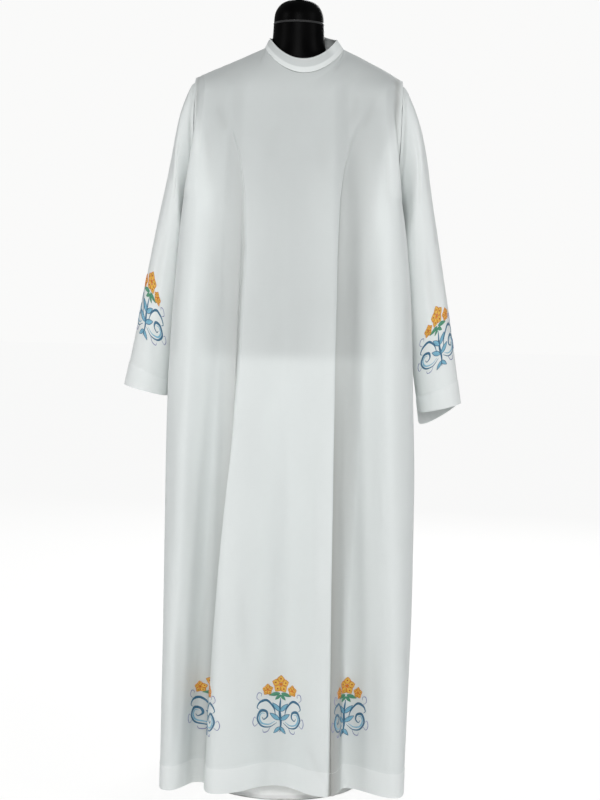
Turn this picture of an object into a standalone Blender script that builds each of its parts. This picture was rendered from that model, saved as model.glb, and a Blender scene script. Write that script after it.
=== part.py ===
"""Alb robe worn by a limbless dress form on a stand, as solids at real size.

Metres, +Z up. The origin is the middle of the stand base's underside. The front faces -Y, and the
wearer's left is +X. Every cloth piece is a thin closed wall: its outer points come from the robe's
sections and folds, and its inner points are those moved in by the cloth's thickness.
"""

import math

import bpy
import numpy as np
from mathutils import Matrix

# Cloth
CLOTH = 0.0012  # wall of a single layer
HEM_STEP = 0.0008  # how far the turned-up hem stands out
SEAM_GAP = 0.0003  # air between two pieces at a seam

# Robe lengths and heights
HEM_Z = 0.034
HEM_BAND = 0.046
UNDERARM_Z = 1.180
YOKE_Z = 1.385
FOLD_START_Z = 1.300
CHEST_Z = 1.250

# Body sections without folds. right and left are the silhouette's half widths on the wearer's right
# (-X) and left (+X); the outline is |x / half width|^corner + |y / depth|^corner = 1; tuck is how far
# the side seam lies inside the silhouette.
LEVEL_COLUMNS = ("height", "right", "left", "front", "back", "corner", "tuck")
LEVELS = (
    (0.034, 0.2340, 0.2370, 0.226, 0.204, 5.0, 0.020),
    (0.210, 0.2365, 0.2450, 0.214, 0.193, 4.8, 0.023),
    (0.400, 0.2380, 0.2490, 0.201, 0.181, 4.5, 0.026),
    (0.600, 0.2395, 0.2490, 0.187, 0.168, 4.3, 0.029),
    (0.790, 0.2405, 0.2440, 0.174, 0.155, 4.0, 0.031),
    (0.935, 0.2360, 0.2370, 0.163, 0.145, 3.8, 0.031),
    (1.035, 0.2300, 0.2300, 0.156, 0.138, 3.6, 0.031),
    (1.120, 0.2240, 0.2205, 0.150, 0.132, 3.4, 0.029),
    (1.180, 0.2180, 0.2120, 0.145, 0.126, 3.2, 0.018),
    (1.300, 0.2040, 0.1960, 0.131, 0.114, 3.0, 0.000),
    (1.385, 0.1950, 0.1900, 0.104, 0.098, 2.8, 0.000),
)

# Fold lines, from the wearer's right seam across the front, then from the left seam across the back.
# x runs from chest to hem; inset is how far the line lies inside the section, from chest to hem;
# growth shapes how early it deepens; round is how blunt it is; top is its place on the upper edge.
FOLD_COLUMNS = ("name", "x_chest", "x_hem", "inset_chest", "inset_hem", "growth", "round", "top", "columns")
FRONT_FOLDS = (
    ("right_edge", -0.186, -0.219, -0.020, -0.052, 1.0, 0.80, 0.10, 3),
    ("right_valley", -0.132, -0.163, 0.000, 0.048, 0.8, 0.85, 0.38, 4),
    ("right_crest", -0.096, -0.127, -0.004, -0.021, 1.0, 1.15, 1.00, 5),
    ("centre_dip", -0.010, -0.012, 0.000, 0.050, 1.1, 0.90, 1.50, 7),
    ("left_crest", 0.070, 0.096, -0.004, -0.025, 1.0, 1.15, 2.00, 7),
    ("left_valley", 0.106, 0.126, 0.004, 0.043, 0.7, 0.85, 2.62, 5),
    ("left_edge", 0.178, 0.219, -0.020, -0.066, 1.0, 0.80, 2.90, 4),
)
BACK_FOLDS = (
    ("back_left_edge", 0.176, 0.218, -0.016, -0.046, 1.0, 0.80, 0.10, 3),
    ("back_left_valley", 0.128, 0.150, 0.000, 0.046, 0.8, 0.85, 0.38, 4),
    ("back_left_crest", 0.086, 0.104, -0.003, -0.020, 1.0, 1.05, 1.00, 5),
    ("back_dip", 0.003, 0.003, 0.000, 0.037, 1.0, 0.90, 1.50, 6),
    ("back_right_crest", -0.080, -0.101, -0.003, -0.022, 1.0, 1.05, 2.00, 6),
    ("back_right_valley", -0.126, -0.146, 0.000, 0.050, 0.8, 0.85, 2.62, 5),
    ("back_right_edge", -0.182, -0.217, -0.016, -0.046, 1.0, 0.80, 2.90, 4),
)
SIDE_COLUMNS = (3, 3)  # columns from the side seam to the silhouette, and on to the outer fold
SIDE_SHARE = 0.66  # how far forward or back the silhouette runs, as a share of the depth
SIDE_Y = 0.004

# Rows of the body panels
ROWS_SKIRT = 12
ROWS_CHEST = 8
ROWS_YOKE = 4
ROWS_ARMHOLE = ROWS_CHEST + ROWS_YOKE
SLIT_ROWS = 7  # rows of the back that part below the neck, about 20 cm

# Shoulders, neckline and armholes
SHOULDER_TIP = {-1: (-0.2045, 0.004, 1.426), 1: (0.2115, 0.004, 1.428)}
SHOULDER_RISE = {-1: -0.001, 1: 0.002}  # of the seam's middle over a straight line
UNDERARM_X = {-1: -0.2015, 1: 0.2035}
ARMHOLE_FRONT = 0.074
ARMHOLE_BACK = 0.066
NECK_CENTRE = (0.0120, -0.001)
NECK_HALF_WIDTH = 0.0790
NECK_FRONT = 0.084
NECK_BACK = 0.068
NECK_SIDE_Z = 1.487
NECK_FRONT_DROP = 0.058
NECK_BACK_RISE = 0.012


def monotone(knots, values, at):
    """Smooth curve through (knots, values) that never overshoots them."""
    step = np.diff(knots)
    slope = np.diff(values) / step
    tangent = np.zeros(len(knots))
    tangent[0], tangent[-1] = slope[0], slope[-1]
    for i in range(1, len(knots) - 1):
        if slope[i - 1] * slope[i] > 0:
            tangent[i] = 2 / (1 / slope[i - 1] + 1 / slope[i])
    i = int(np.clip(np.searchsorted(knots, at) - 1, 0, len(step) - 1))
    return float(hermite(values[i], tangent[i] * step[i], values[i + 1], tangent[i + 1] * step[i],
                         (at - knots[i]) / step[i]))


def hermite(start, start_tangent, end, end_tangent, t):
    return (
        (1 + 2 * t) * (1 - t) ** 2 * start
        + t * (1 - t) ** 2 * start_tangent
        + t * t * (3 - 2 * t) * end
        - t * t * (1 - t) * end_tangent
    )


def unit(vector):
    return vector / np.linalg.norm(vector)


def units(vectors):
    return vectors / np.linalg.norm(vectors, axis=-1, keepdims=True)


def without(vectors, directions):
    """The vectors less their share along unit directions."""
    return vectors - np.sum(vectors * directions, axis=-1, keepdims=True) * directions


def level(column, z):
    i = LEVEL_COLUMNS.index(column)
    return monotone([row[0] for row in LEVELS], [row[i] for row in LEVELS], z)


def half_width(side, z):
    return level("right" if side < 0 else "left", z)


def section_depth(x, z, depth):
    """Distance of the unfolded section from the x axis at x."""
    corner = level("corner", z)
    reach = min(abs(x) / half_width(x, z), 0.999)
    return depth * (1 - reach**corner) ** (1 / corner)


def fold_point(fold, z, facing):
    """Where a fold line crosses height z. facing is -1 for the front and 1 for the back."""
    _, x_chest, x_hem, inset_chest, inset_hem, growth, *_ = fold
    down = (CHEST_Z - z) / (CHEST_Z - HEM_Z)
    x = x_chest + (x_hem - x_chest) * down
    grown = max(0.0, (FOLD_START_Z - z) / (FOLD_START_Z - HEM_Z)) ** growth
    inset = inset_chest + (inset_hem - inset_chest) * grown
    depth = section_depth(x, z, level("front" if facing < 0 else "back", z)) - inset
    return np.array((x, facing * depth))


def side_points(side, z, facing):
    """The side seam and the silhouette's place beside it."""
    width = half_width(side, z)
    depth = level("front" if facing < 0 else "back", z) * SIDE_SHARE
    return [np.array((side * (width - level("tuck", z)), SIDE_Y)), np.array((side * width, facing * depth))]


def panel_layout(folds):
    """Columns in each span of a panel, and where each span starts on the upper edge."""
    seam, silhouette = SIDE_COLUMNS
    counts = [seam, silhouette] + [f[8] for f in folds[1:]] + [silhouette, seam]
    first, last = folds[0][7], folds[-1][7]
    stops = [0.0, first / 2] + [f[7] for f in folds] + [(3.0 + last) / 2, 3.0]
    return counts, stops


def plan_curve(z, folds, facing):
    """Points of one panel's section at height z, from its first side seam to its other one."""
    first = facing  # the front starts on the wearer's right (-X), the back on the left (+X)
    start, end = side_points(first, z, facing), side_points(-first, z, facing)
    knots = start + [fold_point(f, z, facing) for f in folds] + end[::-1]
    along = np.array((-first, 0.0))
    out, home = np.array((0.0, facing)), np.array((0.0, -facing))
    headings = [out, out] + [along] * len(folds) + [home, home]
    rounds = [0.8, 0.8] + [f[6] for f in folds] + [0.8, 0.8]
    points = []
    for k, count in enumerate(panel_layout(folds)[0]):
        chord = np.linalg.norm(knots[k + 1] - knots[k])
        for i in range(count):
            points.append(hermite(knots[k], headings[k] * chord * rounds[k], knots[k + 1],
                                  headings[k + 1] * chord * rounds[k + 1], i / count))
    points.append(knots[-1])
    return np.array([(x, y, z) for x, y in points])


def neckline(angle):
    """Point of the neck seam: angle 0 is the wearer's left, a quarter turn the back."""
    across, along = math.cos(angle), math.sin(angle)
    reach = NECK_BACK if along > 0 else NECK_FRONT
    height = NECK_SIDE_Z + (NECK_BACK_RISE * along**2 if along > 0 else -NECK_FRONT_DROP * abs(along) ** 1.6)
    return np.array((NECK_CENTRE[0] + NECK_HALF_WIDTH * across, NECK_CENTRE[1] + reach * along, height))


def shoulder_seam(side, share):
    """Point of the shoulder seam, from its tip (0) to the neck (1)."""
    tip, neck = np.array(SHOULDER_TIP[side]), neckline(0.0 if side > 0 else math.pi)
    point = tip + (neck - tip) * share
    point[2] += SHOULDER_RISE[side] * math.sin(math.pi * share)
    return point


def top_edge(place, facing):
    """Point of a panel's upper edge: place runs 0-1 on the first shoulder, 1-2 on the neck, 2-3 on the other."""
    first = facing
    if place <= 1:
        return shoulder_seam(first, place)
    if place >= 2:
        return shoulder_seam(-first, 3 - place)
    start = math.pi if first < 0 else 0.0
    return neckline(start + math.pi * (place - 1))


def top_heading(place, facing):
    """Direction in which the cloth reaches the upper edge: flat over a shoulder, steeper up to the neck."""
    neck = max(0.0, 1 - abs(place - 1.5) / 0.9)
    return unit(np.array((0.0, -facing * (1.0 - 0.45 * neck), 0.25 + 0.75 * neck)))


def column_places(folds):
    """Where each column of a panel ends on the upper edge."""
    counts, stops = panel_layout(folds)
    places = []
    for k, count in enumerate(counts):
        places += [stops[k] + (stops[k + 1] - stops[k]) * i / count for i in range(count)]
    return places + [stops[-1]]


def armhole_turn(row):
    """How far round the armhole a row ends: 0 at the underarm, 1 at the shoulder tip."""
    share = row / ROWS_ARMHOLE
    return 0.35 * share + 0.65 * math.acos(1 - 2 * share) / math.pi


def armhole_point(side, facing, turn):
    """Point of the armhole edge, from the underarm (turn 0) to the shoulder tip (turn 1)."""
    tip = SHOULDER_TIP[side]
    angle = math.pi * turn
    rise = (1 - math.cos(angle)) / 2
    reach = ARMHOLE_FRONT if facing < 0 else ARMHOLE_BACK
    x = UNDERARM_X[side] + (tip[0] - UNDERARM_X[side]) * rise
    y = SIDE_Y + (tip[1] - SIDE_Y) * rise + facing * reach * math.sin(angle)
    return np.array((x, y, UNDERARM_Z + (tip[2] - UNDERARM_Z) * rise))


def skirt_heights():
    """Row heights from the hem to the underarm, with a close pair where the hem's fold ends."""
    band_top = HEM_Z + HEM_BAND
    above = np.linspace(band_top, UNDERARM_Z, ROWS_SKIRT + 1)
    return [HEM_Z, HEM_Z + HEM_BAND / 2, band_top - 0.001, *above]


def panel_grid(folds, facing):
    """Outer points of a body panel, rows from hem to upper edge, columns from its first side seam."""
    rows = [plan_curve(z, folds, facing) for z in skirt_heights()]
    underarm = rows[-1]
    underarm[0][0], underarm[-1][0] = UNDERARM_X[facing], UNDERARM_X[-facing]
    yoke = plan_curve(YOKE_Z, folds, facing)
    below = plan_curve(YOKE_Z - 0.01, folds, facing)
    places = column_places(folds)
    upper = []
    for i in range(1, ROWS_CHEST + 1):
        upper.append(plan_curve(UNDERARM_Z + (YOKE_Z - UNDERARM_Z) * i / ROWS_CHEST, folds, facing))
    for i in range(1, ROWS_YOKE + 1):
        row = []
        for c, place in enumerate(places):
            end = top_edge(place, facing)
            length = np.linalg.norm(end - yoke[c])
            rise = unit(yoke[c] - below[c])
            row.append(hermite(yoke[c], rise * length, end, top_heading(place, facing) * length, i / ROWS_YOKE))
        upper.append(np.array(row))
    for i, row in enumerate(upper):
        blend_to_armhole(row, underarm, facing, sum(SIDE_COLUMNS), armhole_turn(i + 1))
    return np.array(rows + upper)


def blend_to_armhole(row, underarm, facing, count, turn):
    """Draws the columns outside the outer folds in to the armhole's edge."""
    for side, edge, fold, step in ((facing, 0, count, 1), (-facing, -1, -1 - count, -1)):
        target = armhole_point(side, facing, turn)
        span = abs(fold - edge)
        for k in range(span):
            share = k / span
            straight = underarm[edge] + (underarm[fold] - underarm[edge]) * share
            bulge = (underarm[edge + step * k] - straight) * math.cos(math.pi / 2 * min(1, turn / 0.75)) ** 2
            row[edge + step * k] = target + (row[fold] - target) * share + bulge


def grid_normals(grid, closed=False):
    """Outward unit normals of a grid whose columns run clockwise seen from above."""
    if closed:
        across = np.roll(grid, -1, axis=1) - np.roll(grid, 1, axis=1)
    else:
        across = np.gradient(grid, axis=1)
    up = np.gradient(grid, axis=0)
    return units(np.cross(across, up))


class Piece:
    """A grid of outer points with its outward normals, and how far each edge point is drawn in."""

    def __init__(self, grid, closed=False):
        self.grid = grid
        self.closed = closed
        self.normals = grid_normals(grid, closed)
        self.shift = np.zeros_like(grid)


def join(piece_a, edge_a, next_a, piece_b, edge_b, next_b):
    """Parts two pieces at a seam by SEAM_GAP, and keeps their inner faces from crossing there.

    An edge is an index of grid points, and next is the index of the points one step in from it.
    """
    edge = piece_a.grid[edge_a]
    seam = units(np.gradient(edge, axis=0))
    into_a, into_b = piece_a.grid[next_a] - edge, piece_b.grid[next_b] - edge
    across = units(units(without(into_b, seam)) - units(without(into_a, seam)))
    for piece, where, sign in ((piece_a, edge_a, -1), (piece_b, edge_b, 1)):
        piece.shift[where] += sign * across * SEAM_GAP / 2
        normals = piece.normals[where]
        leaning = np.sum(normals * across, axis=1, keepdims=True) * sign
        piece.normals[where] = units(normals - np.maximum(leaning, 0) * sign * across)


def link(name, points, faces, material, smooth=True):
    mesh = bpy.data.meshes.new(name)
    mesh.from_pydata([tuple(p) for p in points], [], faces)
    if smooth:
        mesh.shade_smooth()
        mesh.set_sharp_from_angle(angle=math.radians(40))
    mesh.materials.append(material)
    obj = bpy.data.objects.new(name, mesh)
    bpy.context.scene.collection.objects.link(obj)
    return obj


def wall(name, piece, material, thickness=CLOTH, slit=None):
    """Closed thin solid between a piece's outer points and the same points moved in.

    slit is a (column, row): the wall is parted along that column above that row.
    """
    outer = (piece.grid + piece.shift).reshape(-1, 3)
    inward = piece.normals.reshape(-1, 3) * thickness
    rows, columns = piece.grid.shape[:2]
    spans = columns if piece.closed else columns - 1
    if slit:
        parted = [r * columns + slit[0] for r in range(slit[1] + 1, rows)]
        along = units(outer[[i + 1 for i in parted]] - outer[parted]) * SEAM_GAP / 2
        outer, inward = np.concatenate([outer, outer[parted] + along]), np.concatenate([inward, inward[parted]])
        outer[parted] -= along
    offset = len(outer)

    def at(r, c, right_of_slit=False):
        if slit and right_of_slit and c == slit[0] and r > slit[1]:
            return rows * columns + r - slit[1] - 1
        return r * columns + c % columns

    faces = []
    for r in range(rows - 1):
        for c in range(spans):
            quad = (at(r, c, True), at(r, c + 1), at(r + 1, c + 1), at(r + 1, c, True))
            faces.append(quad)
            faces.append(tuple(v + offset for v in reversed(quad)))
    rim = []
    for c in range(spans):
        rim.append((at(0, c + 1), at(0, c)))
        rim.append((at(rows - 1, c, True), at(rows - 1, c + 1)))
    if not piece.closed:
        for r in range(rows - 1):
            rim.append((at(r, 0), at(r + 1, 0)))
            rim.append((at(r + 1, columns - 1), at(r, columns - 1)))
    if slit:
        for r in range(slit[1], rows - 1):
            rim.append((at(r, slit[0], True), at(r + 1, slit[0], True)))
            rim.append((at(r + 1, slit[0]), at(r, slit[0])))
    faces += [(a, b, b + offset, a + offset) for a, b in rim]
    return link(name, np.concatenate([outer, outer - inward]), faces, material)


def plain_material(name, colour, roughness, metallic):
    material = bpy.data.materials.new(name)
    material.use_nodes = True
    shader = material.node_tree.nodes["Principled BSDF"]
    shader.inputs["Base Color"].default_value = (*colour, 1.0)
    shader.inputs["Roughness"].default_value = roughness
    shader.inputs["Metallic"].default_value = metallic
    material.diffuse_color = (*colour, 1.0)
    return material


def raise_hem(piece, rows):
    """Lifts the turned-up rows at the bottom of a piece by one more layer of cloth."""
    piece.shift[:rows] += piece.normals[:rows] * HEM_STEP


# Sleeves, from the armhole (share 0) to the cuff (share 1). The inner line runs down from the
# underarm and the outer line from the shoulder; front and back are half depths.
SLEEVE_COLUMNS = ("share", "inner_x", "inner_z", "outer_x", "outer_z", "front", "back", "y")
SLEEVES = {
    -1: (
        (0.00, -0.2015, 1.180, -0.2045, 1.426, 0.074, 0.066, 0.004),
        (0.07, -0.2080, 1.158, -0.2210, 1.385, 0.078, 0.071, 0.003),
        (0.28, -0.2180, 1.075, -0.2495, 1.252, 0.080, 0.076, 0.001),
        (0.53, -0.2255, 0.975, -0.2810, 1.097, 0.079, 0.078, 0.000),
        (0.85, -0.2400, 0.845, -0.3170, 0.896, 0.077, 0.077, 0.000),
        (1.00, -0.2490, 0.785, -0.3345, 0.806, 0.076, 0.076, 0.000),
    ),
    1: (
        (0.00, 0.2035, 1.180, 0.2115, 1.428, 0.074, 0.066, 0.004),
        (0.07, 0.2070, 1.158, 0.2340, 1.388, 0.079, 0.073, 0.003),
        (0.22, 0.2145, 1.095, 0.2600, 1.281, 0.081, 0.077, 0.001),
        (0.43, 0.2230, 1.010, 0.2850, 1.141, 0.080, 0.078, 0.000),
        (0.76, 0.2440, 0.865, 0.3210, 0.930, 0.077, 0.077, 0.000),
        (1.00, 0.2630, 0.763, 0.3450, 0.784, 0.076, 0.076, 0.000),
    ),
}
SLEEVE_ROWS = 13
CAP_END = 0.30  # share at which the sleeve hangs freely
SLEEVE_FLAT = 0.40  # how much flatter than an ellipse the free sleeve hangs
CUFF_FALL = {-1: 0.006, 1: 0.034}  # how far the back of each cuff hangs below its front
CUFF_FALL_START = 0.72
CUFF_BAND = 0.045


def sleeve_value(side, column, share):
    rows = SLEEVES[side]
    i = SLEEVE_COLUMNS.index(column)
    return monotone([row[0] for row in rows], [row[i] for row in rows], share)


def sleeve_point(side, share, facing, turn):
    """Point of a sleeve: turn runs from its inner line (0) to its outer line (1)."""
    inner = np.array([sleeve_value(side, c, share) for c in ("inner_x", "y", "inner_z")])
    outer = np.array([sleeve_value(side, c, share) for c in ("outer_x", "y", "outer_z")])
    angle = math.pi * turn
    point = inner + (outer - inner) * (1 - math.cos(angle)) / 2
    flat = 1 - SLEEVE_FLAT * min(1.0, share / CAP_END)
    point[1] += facing * sleeve_value(side, "front" if facing < 0 else "back", share) * abs(math.sin(angle)) ** flat
    if facing > 0 and share > CUFF_FALL_START:
        low = ((share - CUFF_FALL_START) / (1 - CUFF_FALL_START)) ** 2
        point[2] -= CUFF_FALL[side] * low * math.sin(math.pi * turn**0.6)
    return point


def cap_point(side, share, facing, turn):
    """Point of a sleeve, whose cap leaves the armhole outward before it hangs down."""
    if share >= CAP_END:
        return sleeve_point(side, share, facing, turn)
    start = sleeve_point(side, 0.0, facing, turn)
    end = sleeve_point(side, CAP_END, facing, turn)
    slope = (sleeve_point(side, CAP_END + 0.01, facing, turn) - end) / 0.01
    swell = math.sin(math.pi * turn)
    leave = unit(np.array((side * (0.35 + 0.50 * swell), facing * 0.22 * swell, 0.35 * swell - 1.0)))
    length = np.linalg.norm(end - start)
    return hermite(start, leave * length * 1.05, end, slope * CAP_END * 0.9, share / CAP_END)


def sleeve_grid(side):
    """Outer points of a sleeve, rows from the cuff to the armhole, columns once round."""
    half = ROWS_ARMHOLE
    turns = [(-side, armhole_turn(k)) for k in range(half + 1)]
    turns += [(side, armhole_turn(k)) for k in range(half - 1, 0, -1)]
    columns = []
    for facing, turn in turns:
        end = cap_point(side, 1.0, facing, turn)
        speed = np.linalg.norm(end - cap_point(side, 0.9, facing, turn)) / 0.1
        band = CUFF_BAND / speed
        shares = [1.0, 1.0 - band / 2, 1.0 - band + 0.001 / speed]
        shares += [(1.0 - band) * (1 - i / SLEEVE_ROWS) ** 1.15 for i in range(SLEEVE_ROWS + 1)]
        columns.append([cap_point(side, share, facing, turn) for share in shares])
    return np.array(columns).transpose(1, 0, 2)


# Collar: the band stands on the neck seam and closes at the back
COLLAR_CLOTH = 0.0020
COLLAR_COLUMNS = 40
COLLAR_ROWS = 3
COLLAR_TOP_CENTRE = (0.0100, -0.002)
COLLAR_TOP_HALF_WIDTH = 0.0675
COLLAR_TOP_FRONT = 0.0730
COLLAR_TOP_BACK = 0.0600
COLLAR_TOP_SIDE_Z = 1.5065
COLLAR_TOP_DROP = 0.0490
COLLAR_TOP_BACK_RISE = 0.0180
COLLAR_OVERLAP = 2  # columns of the upper end that lie over the lower one
COLLAR_LAP = 0.0026  # how far the upper end stands off the lower one


def collar_top(angle):
    across, along = math.cos(angle), math.sin(angle)
    reach = COLLAR_TOP_BACK if along > 0 else COLLAR_TOP_FRONT
    change = COLLAR_TOP_BACK_RISE * along**2 if along > 0 else -COLLAR_TOP_DROP * abs(along) ** 1.6
    return np.array((COLLAR_TOP_CENTRE[0] + COLLAR_TOP_HALF_WIDTH * across,
                     COLLAR_TOP_CENTRE[1] + reach * along, COLLAR_TOP_SIDE_Z + change))


def collar_grid():
    """Outer points of the collar, from its lower end at the back round the front to its upper end."""
    step = 2 * math.pi / (COLLAR_COLUMNS - COLLAR_OVERLAP)
    start = math.pi / 2 - step * COLLAR_OVERLAP / 2
    rows = []
    for r in range(COLLAR_ROWS + 1):
        row = []
        for c in range(COLLAR_COLUMNS + 1):
            angle = start + step * c
            base, top = neckline(angle), collar_top(angle)
            point = base + (top - base) * r / COLLAR_ROWS
            point[2] += 0.0012
            lap = np.clip((c - COLLAR_COLUMNS + COLLAR_OVERLAP + 3) / 2, 0, 1)
            outward = unit(np.array((point[0] - NECK_CENTRE[0], point[1] - NECK_CENTRE[1], 0.0)))
            row.append(point + outward * COLLAR_LAP * lap)
        rows.append(row)
    return np.array(rows)


# Dress form: sections as for the robe
FORM_COLUMNS = ("height", "half_width", "front", "back", "corner")
FORM_LEVELS = (
    (0.872, 0.140, 0.088, 0.088, 2.3),
    (0.8745, 0.153, 0.099, 0.098, 2.3),
    (0.882, 0.162, 0.106, 0.104, 2.3),
    (0.905, 0.167, 0.110, 0.107, 2.3),
    (0.960, 0.166, 0.112, 0.108, 2.3),
    (1.020, 0.156, 0.106, 0.101, 2.2),
    (1.080, 0.146, 0.099, 0.093, 2.2),
    (1.140, 0.145, 0.100, 0.090, 2.2),
    (1.200, 0.152, 0.108, 0.093, 2.2),
    (1.260, 0.164, 0.114, 0.097, 2.3),
    (1.310, 0.176, 0.108, 0.097, 2.4),
    (1.350, 0.185, 0.092, 0.092, 2.5),
    (1.380, 0.188, 0.078, 0.083, 2.5),
    (1.402, 0.184, 0.068, 0.073, 2.4),
    (1.420, 0.168, 0.062, 0.065, 2.2),
    (1.436, 0.138, 0.059, 0.061, 2.1),
    (1.450, 0.100, 0.054, 0.053, 2.0),
    (1.464, 0.073, 0.051, 0.050, 2.0),
    (1.480, 0.0575, 0.050, 0.049, 2.0),
    (1.500, 0.0525, 0.049, 0.048, 2.0),
    (1.5330, 0.0505, 0.048, 0.047, 2.0),
)
FORM_SIDES = 34
RING = ((0.0000, 1.5331), (0.0500, 1.5331), (0.0512, 1.5350), (0.0500, 1.5369), (0.0000, 1.5369))
CAP = ((0.0000, 1.5370), (0.0500, 1.5370), (0.0498, 1.5440), (0.0485, 1.5540), (0.0445, 1.5640),
       (0.0380, 1.5725), (0.0290, 1.5785), (0.0180, 1.5815), (0.0080, 1.5822), (0.0000, 1.5822))
FINIAL = ((0.0000, 1.5823), (0.0105, 1.5823), (0.0100, 1.5850), (0.0068, 1.5880), (0.0068, 1.5930),
          (0.0110, 1.5970), (0.0135, 1.6030), (0.0135, 1.6080), (0.0110, 1.6140), (0.0060, 1.6175),
          (0.0000, 1.6185))
SOCKET = ((0.0000, 0.8480), (0.0220, 0.8480), (0.0240, 0.8500), (0.0240, 0.8640), (0.0600, 0.8665),
          (0.0620, 0.8690), (0.0620, 0.8719), (0.0000, 0.8719))
POLE_RADIUS = 0.0125
HUB = ((0.0000, 0.0252), (0.0320, 0.0252), (0.0320, 0.0300), (0.0240, 0.0350), (0.0185, 0.0480),
       (0.0180, 0.0700), (0.0165, 0.0720), (0.0000, 0.0720))
BASE = ((0.0000, 0.0000), (0.1600, 0.0000), (0.1640, 0.0030), (0.1640, 0.0090), (0.1610, 0.0125),
        (0.1300, 0.0185), (0.0800, 0.0235), (0.0400, 0.0251), (0.0000, 0.0251))


def form_ring(row, sides):
    height, half_width, front, back, corner = row
    ring = []
    for i in range(sides):
        angle = 2 * math.pi * i / sides
        across, along = math.cos(angle), math.sin(angle)
        reach = back if along > 0 else front
        ring.append((half_width * math.copysign(abs(across) ** (2 / corner), across),
                     reach * math.copysign(abs(along) ** (2 / corner), along), height))
    return ring


def stack(name, rings, material):
    """Closed solid through rings of equal counts, with a flat face at each end."""
    points = [p for ring in rings for p in ring]
    count = len(rings[0])
    faces = [tuple(reversed(range(count))), tuple(range(len(points) - count, len(points)))]
    for r in range(len(rings) - 1):
        for c in range(count):
            d = (c + 1) % count
            faces.append((r * count + c, r * count + d, (r + 1) * count + d, (r + 1) * count + c))
    return link(name, points, faces, material)


def turned(name, profile, material, sides=32):
    """Closed solid of revolution about the pole's axis from (radius, height) pairs, bottom first."""
    points, faces, rings = [], [], []
    for radius, height in profile:
        ring = []
        for i in range(sides if radius > 0 else 1):
            angle = 2 * math.pi * i / sides
            ring.append(len(points))
            points.append((radius * math.cos(angle), radius * math.sin(angle), height))
        rings.append(ring)
    for low, high in zip(rings, rings[1:]):
        for i in range(sides):
            a, b = low[i % len(low)], low[(i + 1) % len(low)]
            c, d = high[(i + 1) % len(high)], high[i % len(high)]
            quad = tuple(dict.fromkeys((a, b, c, d)))
            if len(quad) > 2:
                faces.append(quad)
    if len(rings[0]) > 1:
        faces += [(rings[-1][i], rings[-1][(i + 1) % sides], rings[0][(i + 1) % sides], rings[0][i])
                  for i in range(sides)]
    return link(name, points, faces, material)


def body_panels():
    front = Piece(panel_grid(FRONT_FOLDS, -1))
    back = Piece(panel_grid(BACK_FOLDS, 1))
    sleeves = {side: Piece(sleeve_grid(side), closed=True) for side in (-1, 1)}
    seam_rows = np.arange(len(skirt_heights()))
    for side in (-1, 1):
        front_edge, back_edge = (0, -1) if side < 0 else (-1, 0)
        front_next, back_next = (1, -2) if side < 0 else (-2, 1)
        join(front, (seam_rows, front_edge), (seam_rows, front_next),
             back, (seam_rows, back_edge), (seam_rows, back_next))
        # Armhole: from the underarm to the tip along the front and along the back
        arm_rows = np.arange(len(seam_rows) - 1, len(front.grid))
        turns = np.arange(ROWS_ARMHOLE + 1)
        count = 2 * ROWS_ARMHOLE
        sleeve = sleeves[side]
        for panel, edge, step, facing in ((front, front_edge, front_next, -1), (back, back_edge, back_next, 1)):
            columns = turns if facing == -side else (count - turns) % count
            join(panel, (arm_rows, edge), (arm_rows, step), sleeve, (-1, columns), (-2, columns))
    # Shoulder seams: the same columns from tip to neck on both panels
    shoulder = sum(panel_layout(FRONT_FOLDS)[0][:4])
    last = front.grid.shape[1] - 1
    back_last = back.grid.shape[1] - 1
    inner_first = np.arange(shoulder + 1)
    join(front, (-1, inner_first), (-2, inner_first), back, (-1, back_last - inner_first),
         (-2, back_last - inner_first))
    join(front, (-1, last - inner_first), (-2, last - inner_first), back, (-1, inner_first), (-2, inner_first))
    for piece in (front, back):
        raise_hem(piece, 3)
    for piece in sleeves.values():
        raise_hem(piece, 3)
    return front, back, sleeves


def robe(white):
    front, back, sleeves = body_panels()
    wall("front", front, white)
    wall("back", back, white, slit=(sum(panel_layout(BACK_FOLDS)[0][:5]), len(back.grid) - 1 - SLIT_ROWS))
    wall("sleeve_left", sleeves[1], white)
    wall("sleeve_right", sleeves[-1], white)
    wall("collar", Piece(collar_grid()), white, COLLAR_CLOTH)
    middle_back = (neckline(math.pi / 2) + collar_top(math.pi / 2)) / 2
    turned_button(middle_back + np.array((-0.004, COLLAR_LAP + 0.0008, 0.0012)), white)


BUTTON = ((0.0000, 0.0000), (0.0052, 0.0000), (0.0055, 0.0004), (0.0055, 0.0018), (0.0050, 0.0022),
          (0.0040, 0.0018), (0.0000, 0.0018))


def turned_button(centre, material):
    button = turned("collar_button", BUTTON, material, sides=20)
    lean = math.atan2(COLLAR_TOP_BACK - NECK_BACK, COLLAR_TOP_SIDE_Z - NECK_SIDE_Z)
    turn = Matrix.Translation(centre) @ Matrix.Rotation(-math.pi / 2 - lean, 4, "X")
    button.data.transform(turn)


def dress_form(black, metal):
    stack("torso", [form_ring(row, FORM_SIDES) for row in FORM_LEVELS], black)
    turned("neck_ring", RING, metal)
    turned("neck_cap", CAP, black)
    turned("finial", FINIAL, black, sides=20)
    turned("socket", SOCKET, metal, sides=24)
    turned("pole", ((0.0, 0.0721), (POLE_RADIUS, 0.0721), (POLE_RADIUS, 0.8479), (0.0, 0.8479)), metal)
    turned("hub", HUB, metal, sides=24)
    turned("base", BASE, metal, sides=48)


def main():
    for obj in list(bpy.data.objects):
        bpy.data.objects.remove(obj)
    white = plain_material("white_cloth", (0.86, 0.88, 0.87), 0.75, 0.0)
    black = plain_material("black_form", (0.012, 0.012, 0.013), 0.45, 0.0)
    metal = plain_material("black_metal", (0.02, 0.02, 0.02), 0.35, 0.0)
    robe(white)
    dress_form(black, metal)


main()
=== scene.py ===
import math
from collections import namedtuple

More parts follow.
